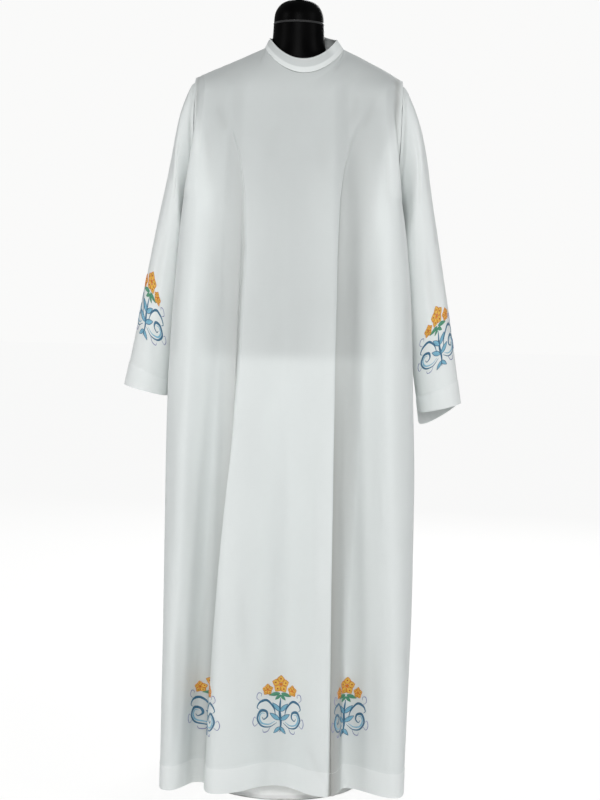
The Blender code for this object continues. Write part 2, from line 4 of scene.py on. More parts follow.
import bpy
import numpy as np
from bpy.props import FloatProperty, FloatVectorProperty, PointerProperty
from mathutils import Matrix, Vector
from mathutils.bvhtree import BVHTree


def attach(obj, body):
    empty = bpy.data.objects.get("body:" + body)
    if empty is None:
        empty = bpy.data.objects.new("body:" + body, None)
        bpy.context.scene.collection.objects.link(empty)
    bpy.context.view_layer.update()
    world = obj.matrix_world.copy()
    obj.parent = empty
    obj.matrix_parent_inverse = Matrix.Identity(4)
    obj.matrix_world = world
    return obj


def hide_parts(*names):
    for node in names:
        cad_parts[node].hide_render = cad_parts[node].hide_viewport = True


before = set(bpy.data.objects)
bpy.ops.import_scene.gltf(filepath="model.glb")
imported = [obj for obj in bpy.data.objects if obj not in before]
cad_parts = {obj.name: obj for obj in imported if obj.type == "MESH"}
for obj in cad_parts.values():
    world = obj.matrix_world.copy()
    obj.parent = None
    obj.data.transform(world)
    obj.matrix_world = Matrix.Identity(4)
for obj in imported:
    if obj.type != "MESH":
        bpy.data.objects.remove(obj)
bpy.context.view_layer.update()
BODY = "root"

bl_info = {
    "name": "Alb on a Dress Form",
    "version": (1, 0, 0),
    "blender": (4, 5, 0),
    "location": "View3D > Sidebar > Alb",
    "description": "Builds a long white alb with embroidered hem and cuffs on a black dress form",
    "category": "Object",
}

# ------------------------
# The robe's cut and hang, in metres. The front faces -Y and the wearer's left is +X.
HEM_STEP = 0.0008  # how far the turned-up hem stands out
HEM_Z = 0.034
HEM_BAND = 0.046
PAINTED_SHADE_DEPTH = 0.014  # depth at which a trough gets its darkest painted shade
SEWING_RISE = 0.0001  # how far the middle of a stitch lies over the cloth
BAND_EDGE = 0.0011  # height over which the turned-up layer ends
UNDERARM_Z = 1.180
YOKE_Z = 1.385
FOLD_START_Z = 1.300
CHEST_Z = 1.250

# Body sections without folds, as |x / half width|^corner + |y / depth|^corner = 1. Tuck is how far
# the side seam lies inside the silhouette.
LEVEL_COLUMNS = ("height", "right", "left", "front", "back", "corner", "tuck")
LEVELS = (
    (0.034, 0.2340, 0.2370, 0.226, 0.204, 5.0, 0.020),
    (0.210, 0.2365, 0.2450, 0.214, 0.193, 4.8, 0.023),
    (0.400, 0.2380, 0.2490, 0.201, 0.181, 4.5, 0.026),
    (0.600, 0.2395, 0.2490, 0.187, 0.168, 4.3, 0.029),
    (0.790, 0.2405, 0.2440, 0.174, 0.155, 4.0, 0.031),
    (0.935, 0.2360, 0.2370, 0.163, 0.145, 3.8, 0.031),
    (1.035, 0.2300, 0.2300, 0.156, 0.138, 3.6, 0.031),
    (1.120, 0.2240, 0.2205, 0.150, 0.132, 3.4, 0.029),
    (1.180, 0.2180, 0.2120, 0.145, 0.126, 3.2, 0.018),
    (1.300, 0.2040, 0.1960, 0.131, 0.114, 3.0, 0.000),
    (1.385, 0.1950, 0.1900, 0.104, 0.098, 2.8, 0.000),
)

# Fold lines from the wearer's right seam across the front, and from the left seam across the back.
# An inset is how far the cloth lies inside its section without folds, round is how gently it bends
# there, top is where it ends on the upper edge, and columns are the solid's up to it from the last.
Fold = namedtuple("Fold", "name x_chest x_hem inset_chest inset_hem growth round top columns")
FRONT_FOLDS = [Fold(*row) for row in (
    ("right_edge", -0.186, -0.219, -0.020, -0.052, 1.0, 0.80, 0.10, 3),
    ("right_valley", -0.132, -0.163, 0.000, 0.048, 0.8, 0.85, 0.38, 4),
    ("right_crest", -0.096, -0.127, -0.004, -0.021, 1.0, 1.15, 1.00, 5),
    ("centre_dip", -0.010, -0.012, 0.000, 0.050, 1.1, 0.90, 1.50, 7),
    ("left_crest", 0.070, 0.096, -0.004, -0.025, 1.0, 1.15, 2.00, 7),
    ("left_valley", 0.106, 0.126, 0.004, 0.043, 0.7, 0.85, 2.62, 5),
    ("left_edge", 0.178, 0.219, -0.020, -0.066, 1.0, 0.80, 2.90, 4),
)]
BACK_FOLDS = [Fold(*row) for row in (
    ("back_left_edge", 0.176, 0.218, -0.016, -0.046, 1.0, 0.80, 0.10, 3),
    ("back_left_valley", 0.128, 0.150, 0.000, 0.046, 0.8, 0.85, 0.38, 4),
    ("back_left_crest", 0.086, 0.104, -0.003, -0.020, 1.0, 1.05, 1.00, 5),
    ("back_dip", 0.003, 0.003, 0.000, 0.037, 1.0, 0.90, 1.50, 6),
    ("back_right_crest", -0.080, -0.101, -0.003, -0.022, 1.0, 1.05, 2.00, 6),
    ("back_right_valley", -0.126, -0.146, 0.000, 0.050, 0.8, 0.85, 2.62, 5),
    ("back_right_edge", -0.182, -0.217, -0.016, -0.046, 1.0, 0.80, 2.90, 4),
)]
SIDE_COLUMNS = (3, 3)  # from the side seam to the silhouette, and from there to the first fold
SIDE_SHARE = 0.66  # depth of the silhouette's place, as a share of the section's
SIDE_ROUND = 0.8
SIDE_Y = 0.004

# Rows of the solids' panels, and how many times finer the cloth here is
ROWS_SKIRT = 12
ROWS_CHEST = 8
ROWS_YOKE = 4
SLIT_ROWS = 7  # rows of the back that part below the neck
FINE_COLUMNS = 4
FINE_SKIRT = 13
FINE_UPPER = 6
FINE_BAND = 10

SHOULDER_TIP = {-1: (-0.2045, 0.004, 1.426), 1: (0.2115, 0.004, 1.428)}
SHOULDER_RISE = {-1: -0.001, 1: 0.002}  # of the seam's middle over a straight line
UNDERARM_X = {-1: -0.2015, 1: 0.2035}
ARMHOLE_FRONT = 0.074
ARMHOLE_BACK = 0.066
ARMHOLE_EVEN = 0.35  # share of the rows' spacing up the armhole that is even in angle
ARMHOLE_TUCK_END = 0.75  # turn of the armhole at which the side's tuck has gone
UPPER_FALL = (0.45, 0.25, 0.75)  # how the cloth's heading at the neck differs from the shoulders'
UPPER_FALL_REACH = 0.9  # from the middle of the neck, in places of the upper edge

# Rings round the neck: the seam, and the collar's upper edge
Ring = namedtuple("Ring", "centre half_width front back side_z front_drop back_rise")
NECK = Ring((0.0120, -0.001), 0.0790, 0.0840, 0.0680, 1.4870, 0.0580, 0.0120)
COLLAR_TOP = Ring((0.0100, -0.002), 0.0675, 0.0730, 0.0600, 1.5065, 0.0490, 0.0180)
FRONT_DROP_CURVE = 1.6

# Sleeves, from the armhole (share 0) to the cuff (share 1)
SLEEVE_COLUMNS = ("share", "inner_x", "inner_z", "outer_x", "outer_z", "front", "back", "y")
SLEEVES = {
    -1: (
        (0.00, -0.2015, 1.180, -0.2045, 1.426, 0.074, 0.066, 0.004),
        (0.07, -0.2080, 1.158, -0.2210, 1.385, 0.078, 0.071, 0.003),
        (0.28, -0.2180, 1.075, -0.2495, 1.252, 0.080, 0.076, 0.001),
        (0.53, -0.2255, 0.975, -0.2810, 1.097, 0.079, 0.078, 0.000),
        (0.85, -0.2400, 0.845, -0.3170, 0.896, 0.077, 0.077, 0.000),
        (1.00, -0.2490, 0.785, -0.3345, 0.806, 0.076, 0.076, 0.000),
    ),
    1: (
        (0.00, 0.2035, 1.180, 0.2115, 1.428, 0.074, 0.066, 0.004),
        (0.07, 0.2070, 1.158, 0.2340, 1.388, 0.079, 0.073, 0.003),
        (0.22, 0.2145, 1.095, 0.2600, 1.281, 0.081, 0.077, 0.001),
        (0.43, 0.2230, 1.010, 0.2850, 1.141, 0.080, 0.078, 0.000),
        (0.76, 0.2440, 0.865, 0.3210, 0.930, 0.077, 0.077, 0.000),
        (1.00, 0.2630, 0.763, 0.3450, 0.784, 0.076, 0.076, 0.000),
    ),
}
SLEEVE_LENGTH = 0.60  # length that a share of 1 stands for
CAP_END = 0.30  # share at which the sleeve hangs freely
CAP_PULL = (1.05, 0.9)  # how strongly the sleeve keeps its heading at the cap's two ends
# A sleeve's heading out of the armhole: outwards, and more outwards, aside and upwards halfway
SLEEVE_HEADING = (0.35, 0.50, 0.22, 0.35)
SLEEVE_FLAT = 0.40  # how much flatter than an ellipse the free sleeve hangs
CUFF_FALL = {-1: 0.006, 1: 0.034}  # how far the back of each cuff hangs below its front
CUFF_FALL_START = 0.72
CUFF_BAND = 0.045
SLEEVE_FINE_ROWS = 130
SLEEVE_CROWDING = 1.15  # rows lie closer together towards the armhole
ARMHOLE_FINE = 48  # columns along half of the armhole

# Collar
COLLAR_SPANS = 38  # of the solid, once round
COLLAR_OVERLAP = 2
COLLAR_LAP = 0.0026
COLLAR_LIFT = 0.0003  # over the neck seam


def hermite(start, start_tangent, end, end_tangent, t):
    return (
        (1 + 2 * t) * (1 - t) ** 2 * start
        + t * (1 - t) ** 2 * start_tangent
        + t * t * (3 - 2 * t) * end
        - t * t * (1 - t) * end_tangent
    )


def monotone(knots, values, at):
    """Smooth curve through (knots, values) that never overshoots them."""
    step = np.diff(knots)
    slope = np.diff(values) / step
    tangent = np.zeros(len(knots))
    tangent[0], tangent[-1] = slope[0], slope[-1]
    for i in range(1, len(knots) - 1):
        if slope[i - 1] * slope[i] > 0:
            tangent[i] = 2 / (1 / slope[i - 1] + 1 / slope[i])
    i = int(np.clip(np.searchsorted(knots, at) - 1, 0, len(step) - 1))
    return float(hermite(values[i], tangent[i] * step[i], values[i + 1], tangent[i + 1] * step[i],
                         (at - knots[i]) / step[i]))


def unit(vector):
    return vector / np.linalg.norm(vector)


def units(vectors):
    return vectors / np.maximum(np.linalg.norm(vectors, axis=-1, keepdims=True), 1e-12)


def smooth(edge_low, edge_high, value):
    t = np.clip((value - edge_low) / (edge_high - edge_low), 0.0, 1.0)
    return t * t * (3 - 2 * t)


def read(rows, columns, name, at):
    """Value of a named column of a table between its rows, whose first column is where they are."""
    i = columns.index(name)
    return monotone([row[0] for row in rows], [row[i] for row in rows], at)


def level(column, z):
    return read(LEVELS, LEVEL_COLUMNS, column, z)


def half_width(side, z):
    return level("right" if side < 0 else "left", z)


def section_depth(x, z, depth):
    corner = level("corner", z)
    reach = min(abs(x) / half_width(x, z), 0.999)
    return depth * (1 - reach**corner) ** (1 / corner)


def panel_depth(facing, z):
    return level("front" if facing < 0 else "back", z)


def fold_point(fold, z, facing):
    down = (CHEST_Z - z) / (CHEST_Z - HEM_Z)
    x = fold.x_chest + (fold.x_hem - fold.x_chest) * down
    grown = max(0.0, (FOLD_START_Z - z) / (FOLD_START_Z - HEM_Z)) ** fold.growth
    inset = fold.inset_chest + (fold.inset_hem - fold.inset_chest) * grown
    return np.array((x, facing * (section_depth(x, z, panel_depth(facing, z)) - inset)))


def side_points(side, z, facing):
    """The side seam and the silhouette's place beside it."""
    width, depth = half_width(side, z), panel_depth(facing, z) * SIDE_SHARE
    seam = np.array((side * (width - level("tuck", z)), SIDE_Y))
    return [seam, np.array((side * width, facing * depth))]


def panel_layout(folds):
    """Columns in each span of a panel, and where each span starts on the upper edge."""
    seam, silhouette = SIDE_COLUMNS
    counts = [seam, silhouette] + [fold.columns for fold in folds[1:]] + [silhouette, seam]
    first, last = folds[0].top, folds[-1].top
    stops = [0.0, first / 2] + [fold.top for fold in folds] + [(3.0 + last) / 2, 3.0]
    return [n * FINE_COLUMNS for n in counts], stops


def plan_curve(z, folds, facing):
    """Points of one panel's section at height z, from its first side seam to its other one."""
    start, end = side_points(facing, z, facing), side_points(-facing, z, facing)
    knots = start + [fold_point(fold, z, facing) for fold in folds] + end[::-1]
    along = np.array((-facing, 0.0))
    out, home = np.array((0.0, facing)), np.array((0.0, -facing))
    headings = [out, out] + [along] * len(folds) + [home, home]
    rounds = [SIDE_ROUND] * 2 + [fold.round for fold in folds] + [SIDE_ROUND] * 2
    spans = []
    for k, count in enumerate(panel_layout(folds)[0]):
        chord = np.linalg.norm(knots[k + 1] - knots[k])
        t = (np.arange(count) / count)[:, None]
        spans.append(hermite(knots[k], headings[k] * chord * rounds[k], knots[k + 1],
                             headings[k + 1] * chord * rounds[k + 1], t))
    plan = np.concatenate(spans + [knots[-1][None]])
    return np.column_stack([plan, np.full(len(plan), z)])


def ring_point(ring, angle):
    """Point of a ring round the neck: angle 0 is the wearer's left, a quarter turn the back."""
    across, along = math.cos(angle), math.sin(angle)
    if along > 0:
        reach, change = ring.back, ring.back_rise * along**2
    else:
        reach, change = ring.front, -ring.front_drop * abs(along) ** FRONT_DROP_CURVE
    x, y = ring.centre
    return np.array((x + ring.half_width * across, y + reach * along, ring.side_z + change))


def shoulder_seam(side, share):
    tip, neck = np.array(SHOULDER_TIP[side]), ring_point(NECK, 0.0 if side > 0 else math.pi)
    point = tip + (neck - tip) * share
    point[2] += SHOULDER_RISE[side] * math.sin(math.pi * share)
    return point


def top_edge(place, facing):
    """Point of a panel's upper edge, at 0-1 on one shoulder, 1-2 on the neck, 2-3 on the other."""
    if place <= 1:
        return shoulder_seam(facing, place)
    if place >= 2:
        return shoulder_seam(-facing, 3 - place)
    return ring_point(NECK, (math.pi if facing < 0 else 0.0) + math.pi * (place - 1))


def top_heading(place, facing):
    """The cloth's heading where it ends on the upper edge, steepest at the middle of the neck."""
    neck = max(0.0, 1 - abs(place - 1.5) / UPPER_FALL_REACH)
    less_inward, rise, more_rise = UPPER_FALL
    return unit(np.array((0.0, -facing * (1.0 - less_inward * neck), rise + more_rise * neck)))


def column_places(folds):
    """Where each column of a panel ends on the upper edge."""
    counts, stops = panel_layout(folds)
    places = [start + (end - start) * i / n
              for start, end, n in zip(stops, stops[1:], counts) for i in range(n)]
    return places + [stops[-1]]


def armhole_turn(share):
    """How far round the armhole a row ends: 0 at the underarm, 1 at the shoulder tip."""
    return ARMHOLE_EVEN * share + (1 - ARMHOLE_EVEN) * math.acos(1 - 2 * share) / math.pi


def armhole_point(side, facing, turn):
    tip = SHOULDER_TIP[side]
    angle = math.pi * turn
    rise = (1 - math.cos(angle)) / 2
    reach = ARMHOLE_FRONT if facing < 0 else ARMHOLE_BACK
    x = UNDERARM_X[side] + (tip[0] - UNDERARM_X[side]) * rise
    y = SIDE_Y + (tip[1] - SIDE_Y) * rise + facing * reach * math.sin(angle)
    return np.array((x, y, UNDERARM_Z + (tip[2] - UNDERARM_Z) * rise))


def blend_to_armhole(row, underarm, facing, turn):
    """Draws the columns outside the outer folds in to the armhole's edge."""
    count = sum(SIDE_COLUMNS) * FINE_COLUMNS
    share = (np.arange(count) / count)[:, None]
    fade = math.cos(math.pi / 2 * min(1, turn / ARMHOLE_TUCK_END)) ** 2
    for side, flip in ((facing, 1), (-facing, -1)):
        line, under = row[::flip], underarm[::flip]
        target = armhole_point(side, facing, turn)
        straight = under[0] + (under[count] - under[0]) * share
        line[:count] = target + (line[count] - target) * share + (under[:count] - straight) * fade


def panel_grid(folds, facing):
    """Outer points of a panel: rows from hem to upper edge, columns from its first side seam."""
    band_top = HEM_Z + HEM_BAND
    heights = list(np.linspace(HEM_Z, band_top, FINE_BAND + 1)) + [band_top + BAND_EDGE]
    heights += list(np.linspace(band_top, UNDERARM_Z, ROWS_SKIRT * FINE_SKIRT + 1))[1:]
    rows = [plan_curve(z, folds, facing) for z in heights]
    underarm = rows[-1]
    underarm[0][0], underarm[-1][0] = UNDERARM_X[facing], UNDERARM_X[-facing]
    yoke, below = (plan_curve(YOKE_Z - drop, folds, facing) for drop in (0.0, 0.01))
    chest_rows, yoke_rows = ROWS_CHEST * FINE_UPPER, ROWS_YOKE * FINE_UPPER
    upper = [plan_curve(UNDERARM_Z + (YOKE_Z - UNDERARM_Z) * i / chest_rows, folds, facing)
             for i in range(1, chest_rows + 1)]
    places = column_places(folds)
    ends = np.array([top_edge(place, facing) for place in places])
    lengths = np.linalg.norm(ends - yoke, axis=1, keepdims=True)
    arrive = np.array([top_heading(place, facing) for place in places]) * lengths
    upper += [hermite(yoke, units(yoke - below) * lengths, ends, arrive, i / yoke_rows)
              for i in range(1, yoke_rows + 1)]
    for i, row in enumerate(upper):
        blend_to_armhole(row, underarm, facing, armhole_turn((i + 1) / len(upper)))
    return np.array(rows + upper)


def sleeve_value(side, column, share):
    return read(SLEEVES[side], SLEEVE_COLUMNS, column, share)


def sleeve_line(side, share):
    """A sleeve's section: inner and outer point, half depths, flatness and its cuff's fall."""
    inner = np.array([sleeve_value(side, c, share) for c in ("inner_x", "y", "inner_z")])
    outer = np.array([sleeve_value(side, c, share) for c in ("outer_x", "y", "outer_z")])
    front, back = (sleeve_value(side, c, share) for c in ("front", "back"))
    flat = 1 - SLEEVE_FLAT * min(1.0, share / CAP_END)
    fall = CUFF_FALL[side] * max(0.0, (share - CUFF_FALL_START) / (1 - CUFF_FALL_START)) ** 2
    return inner, outer, front, back, flat, fall


def sleeve_points(section, facing, turn):
    inner, outer, front, back, flat, fall = section
    angle = math.pi * turn[:, None]
    points = inner + (outer - inner) * (1 - np.cos(angle)) / 2
    points[:, 1] += facing * np.where(facing < 0, front, back) * np.abs(np.sin(angle[:, 0])) ** flat
    points[:, 2] -= np.where(facing > 0, fall * np.sin(math.pi * turn**0.6), 0.0)
    return points


def sleeve_grid(side):
    """Outer points of a sleeve: rows from cuff to armhole, columns round from the inner line."""
    half = [armhole_turn(i / ARMHOLE_FINE) for i in range(ARMHOLE_FINE + 1)]
    turn = np.array(half + half[-2:0:-1])
    facing = np.array([-side] * (ARMHOLE_FINE + 1) + [side] * (ARMHOLE_FINE - 1))
    band, band_edge = CUFF_BAND / SLEEVE_LENGTH, BAND_EDGE / SLEEVE_LENGTH
    shares = list(np.linspace(1.0, 1.0 - band, FINE_BAND + 1)) + [1.0 - band - band_edge]
    shares += [(1.0 - band) * (1 - i / SLEEVE_FINE_ROWS) ** SLEEVE_CROWDING
               for i in range(1, SLEEVE_FINE_ROWS + 1)]
    step = 0.01
    free = sleeve_points(sleeve_line(side, CAP_END), facing, turn)
    slope = (sleeve_points(sleeve_line(side, CAP_END + step), facing, turn) - free) / step
    start = sleeve_points(sleeve_line(side, 0.0), facing, turn)
    # The cloth leaves the armhole downwards, and more outwards at its front and back
    swell = np.sin(math.pi * turn)
    out, more_out, aside, up = SLEEVE_HEADING
    leave = units(np.column_stack([side * (out + more_out * swell), facing * aside * swell,
                                   up * swell - 1.0]))
    length = np.linalg.norm(free - start, axis=1, keepdims=True)
    at_armhole, at_cap = CAP_PULL
    rows = []
    for share in shares:
        if share >= CAP_END:
            rows.append(sleeve_points(sleeve_line(side, share), facing, turn))
        else:
            rows.append(hermite(start, leave * length * at_armhole, free, slope * CAP_END * at_cap,
                                share / CAP_END))
    return np.array(rows)


def collar_grid(rows=14, finer=6):
    """Outer points of the band, from its lower end at the back round the front to its upper end."""
    step = 2 * math.pi / COLLAR_SPANS
    start = math.pi / 2 - step * COLLAR_OVERLAP / 2
    columns = []
    for c in range((COLLAR_SPANS + COLLAR_OVERLAP) * finer + 1):
        angle = start + step * c / finer
        base, top = ring_point(NECK, angle), ring_point(COLLAR_TOP, angle)
        lap = np.clip((c / finer - COLLAR_SPANS + 3) / 2, 0, 1)
        share = (np.arange(rows + 1) / rows)[:, None]
        column = base + (top - base) * share + (0.0, 0.0, COLLAR_LIFT)
        outward = column - (*NECK.centre, 0.0)
        outward[:, 2] = 0.0
        columns.append(column + units(outward) * COLLAR_LAP * lap)
    return np.array(columns).transpose(1, 0, 2)


# ------------------------
# Cloth on those grids
DRIFT_CELLS = 64
DRIFT_START = (17.3, 5.1)
# A crease's width at its ends and what is added at its middle, as shares of the width it is given
CREASE_WIDTHS = (0.55, 0.45)
# The cloth swells beside a crease: how much of its depth, how many widths aside, and how broadly
LIP, LIP_PLACE, LIP_BREADTH = 0.22, 1.9, 0.8
CREASE_PAINTED_SHADE = 0.5  # how much painted shade a crease gets beside a groove as deep
PLEAT_RETURN = 1.15  # how the cloth comes back beyond a pleat
# how the painted shade beyond a pleat fades as the cloth comes back
PLEAT_SHADE_RETURN = 0.6
PUCKER_REACH = 0.014
PUCKER_SIZE = (0.011, 0.05)  # along a seam and away from it
PUCKER_SLANT = 1.3
SLIT_HALF_GAP = 0.00015
SHARP_ANGLE = math.radians(50)

# How the form shades the cloth before it
SHADE_SPREAD = 0.925  # the form's shade reaches a little past its own edges
SHADE_REACH = 0.24
SHADE_FULL = 0.02  # distance up to which the shade is full
SHADE_DECAY = 0.09
# The view turns aside or down as these shares of the normal point aside or up, and how far down
SHADE_ASIDE, SHADE_UP, SHADE_DOWNWARD = (0.70, 0.97), (0.45, 0.80), 1.3
SHADE_FAN = ((0.0, 0.0), (1.0, 0.0), (-1.0, 0.0), (0.0, 1.0), (0.0, -1.0), (0.6, 0.6), (-0.6, 0.6),
             (0.6, -0.6), (-0.6, -0.6))


def drift(u, v, seed):
    """Smooth random values from -1 to 1 over u and v, one cell per unit."""
    table = np.random.RandomState(seed).uniform(-1, 1, (DRIFT_CELLS, DRIFT_CELLS))
    iu, iv = np.floor(u).astype(int), np.floor(v).astype(int)
    fu, fv = u - iu, v - iv
    fu, fv = fu * fu * (3 - 2 * fu), fv * fv * (3 - 2 * fv)

    def row(along):
        near, far = table[iu % DRIFT_CELLS, along], table[(iu + 1) % DRIFT_CELLS, along]
        return near * (1 - fu) + far * fu

    return row(iv % DRIFT_CELLS) * (1 - fv) + row((iv + 1) % DRIFT_CELLS) * fv


class Cloth:
    """A grid of outer points that creases and seams press in and out along its own normals.

    s runs along the rows and h up the columns, both in metres on the cloth itself.
    """

    def __init__(self, grid, closed=False, middle=0):
        self.grid, self.closed = grid, closed
        self.rows, self.columns = grid.shape[:2]
        self.normals = self.turned_out()
        steps = np.linalg.norm(np.diff(grid, axis=1), axis=2)
        along = np.concatenate([np.zeros((self.rows, 1)), np.cumsum(steps, axis=1)], axis=1)
        self.s = along - along[:, middle:middle + 1]
        climb = np.linalg.norm(np.diff(grid, axis=0), axis=2)
        self.h = np.concatenate([np.zeros((1, self.columns)), np.cumsum(climb, axis=0)])
        # deep holds how much painted shade each point gets
        self.rise, self.double, self.deep = np.zeros((3, self.rows, self.columns))

    def turned_out(self):
        if self.closed:
            across = np.roll(self.grid, -1, axis=1) - np.roll(self.grid, 1, axis=1)
        else:
            across = np.gradient(self.grid, axis=1)
        return units(np.cross(across, np.gradient(self.grid, axis=0)))

    def place(self, x, z, facing=-1):
        """(s, h) of the point that shows at x, z from the front (facing -1) or the back (1).

        Cloth that faces away is left out, and of two places that show there the nearer one counts.
        """
        off = (self.grid[..., 0] - x) ** 2 + (self.grid[..., 2] - z) ** 2
        off = off + np.where(self.normals[..., 1] * facing > 0.05, 0.0, 1.0)
        off = off - 2e-4 * facing * self.grid[..., 1]
        r, c = np.unravel_index(np.argmin(off), off.shape)
        return self.s[r, c], self.h[r, c]

    def crease(self, start, end, bow, width, depth, lean=0.0, fade=0.35):
        """Presses a soft trough (depth above 0) or lifts a ridge between two (s, h) places.

        bow bends its middle sideways, lean makes one flank steeper, fade is the share over which
        an end dies.
        """
        (s0, h0), (s1, h1) = start, end
        length = math.hypot(s1 - s0, h1 - h0)
        ds, dh = (s1 - s0) / length, (h1 - h0) / length
        along = ((self.s - s0) * ds + (self.h - h0) * dh) / length
        aside = (self.s - s0) * dh - (self.h - h0) * ds
        at_ends, added = CREASE_WIDTHS
        broad = width * (at_ends + added * np.sin(np.pi * np.clip(along, 0, 1)))
        q = (aside - bow * 4 * along * (1 - along)) / broad
        trough = np.exp(-q * q)
        profile = trough * (1 + lean * q)
        profile -= LIP * np.exp(-((np.abs(q) - LIP_PLACE) / LIP_BREADTH) ** 2)
        ends = smooth(0.0, fade, along) * smooth(0.0, fade, 1 - along)
        self.rise -= depth * profile * ends
        # The trough gets painted shade, darker the deeper it is
        self.paint_trough_shade(CREASE_PAINTED_SHADE * depth * trough * ends)

    def paint_trough_shade(self, depth):
        """Paints shade into cloth in a trough, darker the deeper it lies."""
        self.deep = np.maximum(self.deep, depth / PAINTED_SHADE_DEPTH)

    def crest(self, path, facing):
        """A crest path as s at every point's height, and what its rows say of the fall beside."""
        rows = sorted((*self.place(x, z, facing)[::-1], *fall) for x, z, *fall in path)
        heights, *columns = zip(*rows)
        return [np.interp(self.h, heights, values) for values in columns]

    def pleat(self, pleat, facing, steep=0.0045):
        """Lets the cloth fall away sharply on one side of a crest, and come back over its reach."""
        line, depth, reach, painted_shade = self.crest(pleat.rows, facing)
        off = pleat.side * (self.s - line)
        fall = smooth(0.0, steep, off)
        self.rise -= depth * fall * (1 - np.clip(off / reach, 0, 1)) ** PLEAT_RETURN
        # Shade is painted where the cloth falls away, fading as it comes back
        left = (1 - np.clip(off / reach / pleat.broader, 0, 1)) ** PLEAT_SHADE_RETURN
        self.deep = np.maximum(self.deep, painted_shade * fall * left)

    def gather(self, path, facing, pull=0.6, spread=7.0, margin=12):
        """The grid with its columns drawn together along a crest, so that its edge is crisp."""
        line = self.crest(path, facing)[0]
        columns = np.arange(self.columns)
        fade = np.minimum(1.0, np.minimum(columns, columns[::-1]) / margin)
        rows = []
        for s, row, places in zip(self.s, self.grid, line):
            u = (columns - np.interp(0.0, s - places, columns)) / spread
            at = columns - pull * spread * u * np.exp(-u * u) * fade
            rows.append(np.column_stack([np.interp(at, columns, row[:, k]) for k in range(3)]))
        return np.array(rows)

    def groove(self, distance, depth, offset, reach, sunk=1.0):
        """A soft line of painted shade at an offset from an edge, sunk by a share of its depth."""
        line = depth * np.exp(-((distance - offset) / reach) ** 2)
        self.rise -= line * sunk
        self.paint_trough_shade(line)

    def sway(self, width, height, amount, seed, strength=1.0):
        """Uneven waves, narrow across and long down, as hanging cloth has."""
        across, up = DRIFT_START
        waves = drift(self.s / width + across, self.h / height + up, seed)
        self.rise += amount * strength * waves

    def sink_edge(self, distance, seed, depth=0.0007, reach=0.004, pucker=0.0005):
        """A seam pulls its cloth in along an edge, and gathers it into short uneven puckers."""
        fade = np.exp(-(distance / PUCKER_REACH) ** 2)
        run = self.s + self.h * PUCKER_SLANT
        along, away = PUCKER_SIZE
        self.rise -= depth * np.exp(-(distance / reach) ** 2)
        self.rise += pucker * fade * drift(run / along, distance / away, seed)

    def shape(self, rounds=2):
        """Moves the points by what was pressed, a little softened, and renews the normals."""
        rise = self.rise
        for _ in range(rounds):
            near = np.roll(rise, 1, axis=1) + np.roll(rise, -1, axis=1)
            if not self.closed:
                near[:, 0], near[:, -1] = 2 * rise[:, 0], 2 * rise[:, -1]
            rise = rise * 0.5 + near * 0.25
        self.grid = self.grid + self.normals * rise[..., None]
        self.normals = self.turned_out()
        return self

    def at(self, s, h, lift):
        """Points at (s, h) on the shaped cloth, lifted off it, and the cloth's normals there."""
        row = np.clip(np.interp(h, self.h.mean(axis=1), np.arange(self.rows)), 0, self.rows - 1.001)
        low = row.astype(int)
        found = []
        for r in (low, low + 1):
            column = np.array([np.interp(value, self.s[k], np.arange(self.columns))
                               for value, k in zip(s, r)])
            left = np.minimum(column.astype(int), self.columns - 2)
            t = (column - left)[:, None]
            found.append((self.grid[r, left] * (1 - t) + self.grid[r, left + 1] * t,
                          self.normals[r, left] * (1 - t) + self.normals[r, left + 1] * t))
        t = (row - low)[:, None]
        points = found[0][0] * (1 - t) + found[1][0] * t
        normals = units(found[0][1] * (1 - t) + found[1][1] * t)
        return points + normals * np.asarray(lift)[:, None], normals

    def mesh(self, name, thickness, slit=None):
        """Closed thin shell: the outer points, the same points moved in, and the rims between.

        slit is the column that is parted, and the row from which it is.
        """
        outer = self.grid.reshape(-1, 3)
        inward = self.normals.reshape(-1, 3) * thickness
        index = np.arange(self.rows * self.columns).reshape(self.rows, self.columns)
        source = index.ravel()
        left = index
        if slit:
            column, row = slit
            parted = index[row + 1:, column]
            along = units(outer[parted + 1] - outer[parted]) * SLIT_HALF_GAP
            outer = np.concatenate([outer, outer[parted] + along])
            inward = np.concatenate([inward, inward[parted]])
            source = np.concatenate([source, parted])
            outer[parted] -= along
            left = index.copy()
            left[row + 1:, column] = self.rows * self.columns + np.arange(len(parted))
        offset = len(outer)
        right = np.roll(index, -1, axis=1) if self.closed else index[:, 1:]
        left = left if self.closed else left[:, :-1]
        quads = np.stack([left[:-1], right[:-1], right[1:], left[1:]], axis=-1).reshape(-1, 4)
        rims = [(right[0], left[0]), (left[-1], right[-1])]
        if not self.closed:
            rims += [(index[:-1, 0], index[1:, 0]), (index[1:, -1], index[:-1, -1])]
        if slit:
            foot = index[row:row + 1, column]
            edge = np.concatenate([foot, parted])
            other = np.concatenate([foot, offset - len(parted) + np.arange(len(parted))])
            rims += [(other[:-1], other[1:]), (edge[1:], edge[:-1])]
        rim = np.concatenate([np.column_stack(pair) for pair in rims])
        rim_quads = np.column_stack([rim, rim[:, ::-1] + offset])
        faces = np.concatenate([quads, quads[:, ::-1] + offset, rim_quads])
        source = np.concatenate([source, source])
        piece = new_piece(name, np.concatenate([outer, outer - inward]), faces)
        put_uv(piece.data, np.column_stack([self.s.ravel(), self.h.ravel()])[source])
        put_value(piece.data, "double_layer", self.double.ravel()[source])
        # deep_fold carries the painted shade of folds, creases and grooves
        put_value(piece.data, "deep_fold", self.deep.ravel()[source])
        return piece, source


def linked(name, data):
    """A new object in the scene."""
    thing = bpy.data.objects.new(name, data)
    bpy.context.scene.collection.objects.link(thing)
    return thing


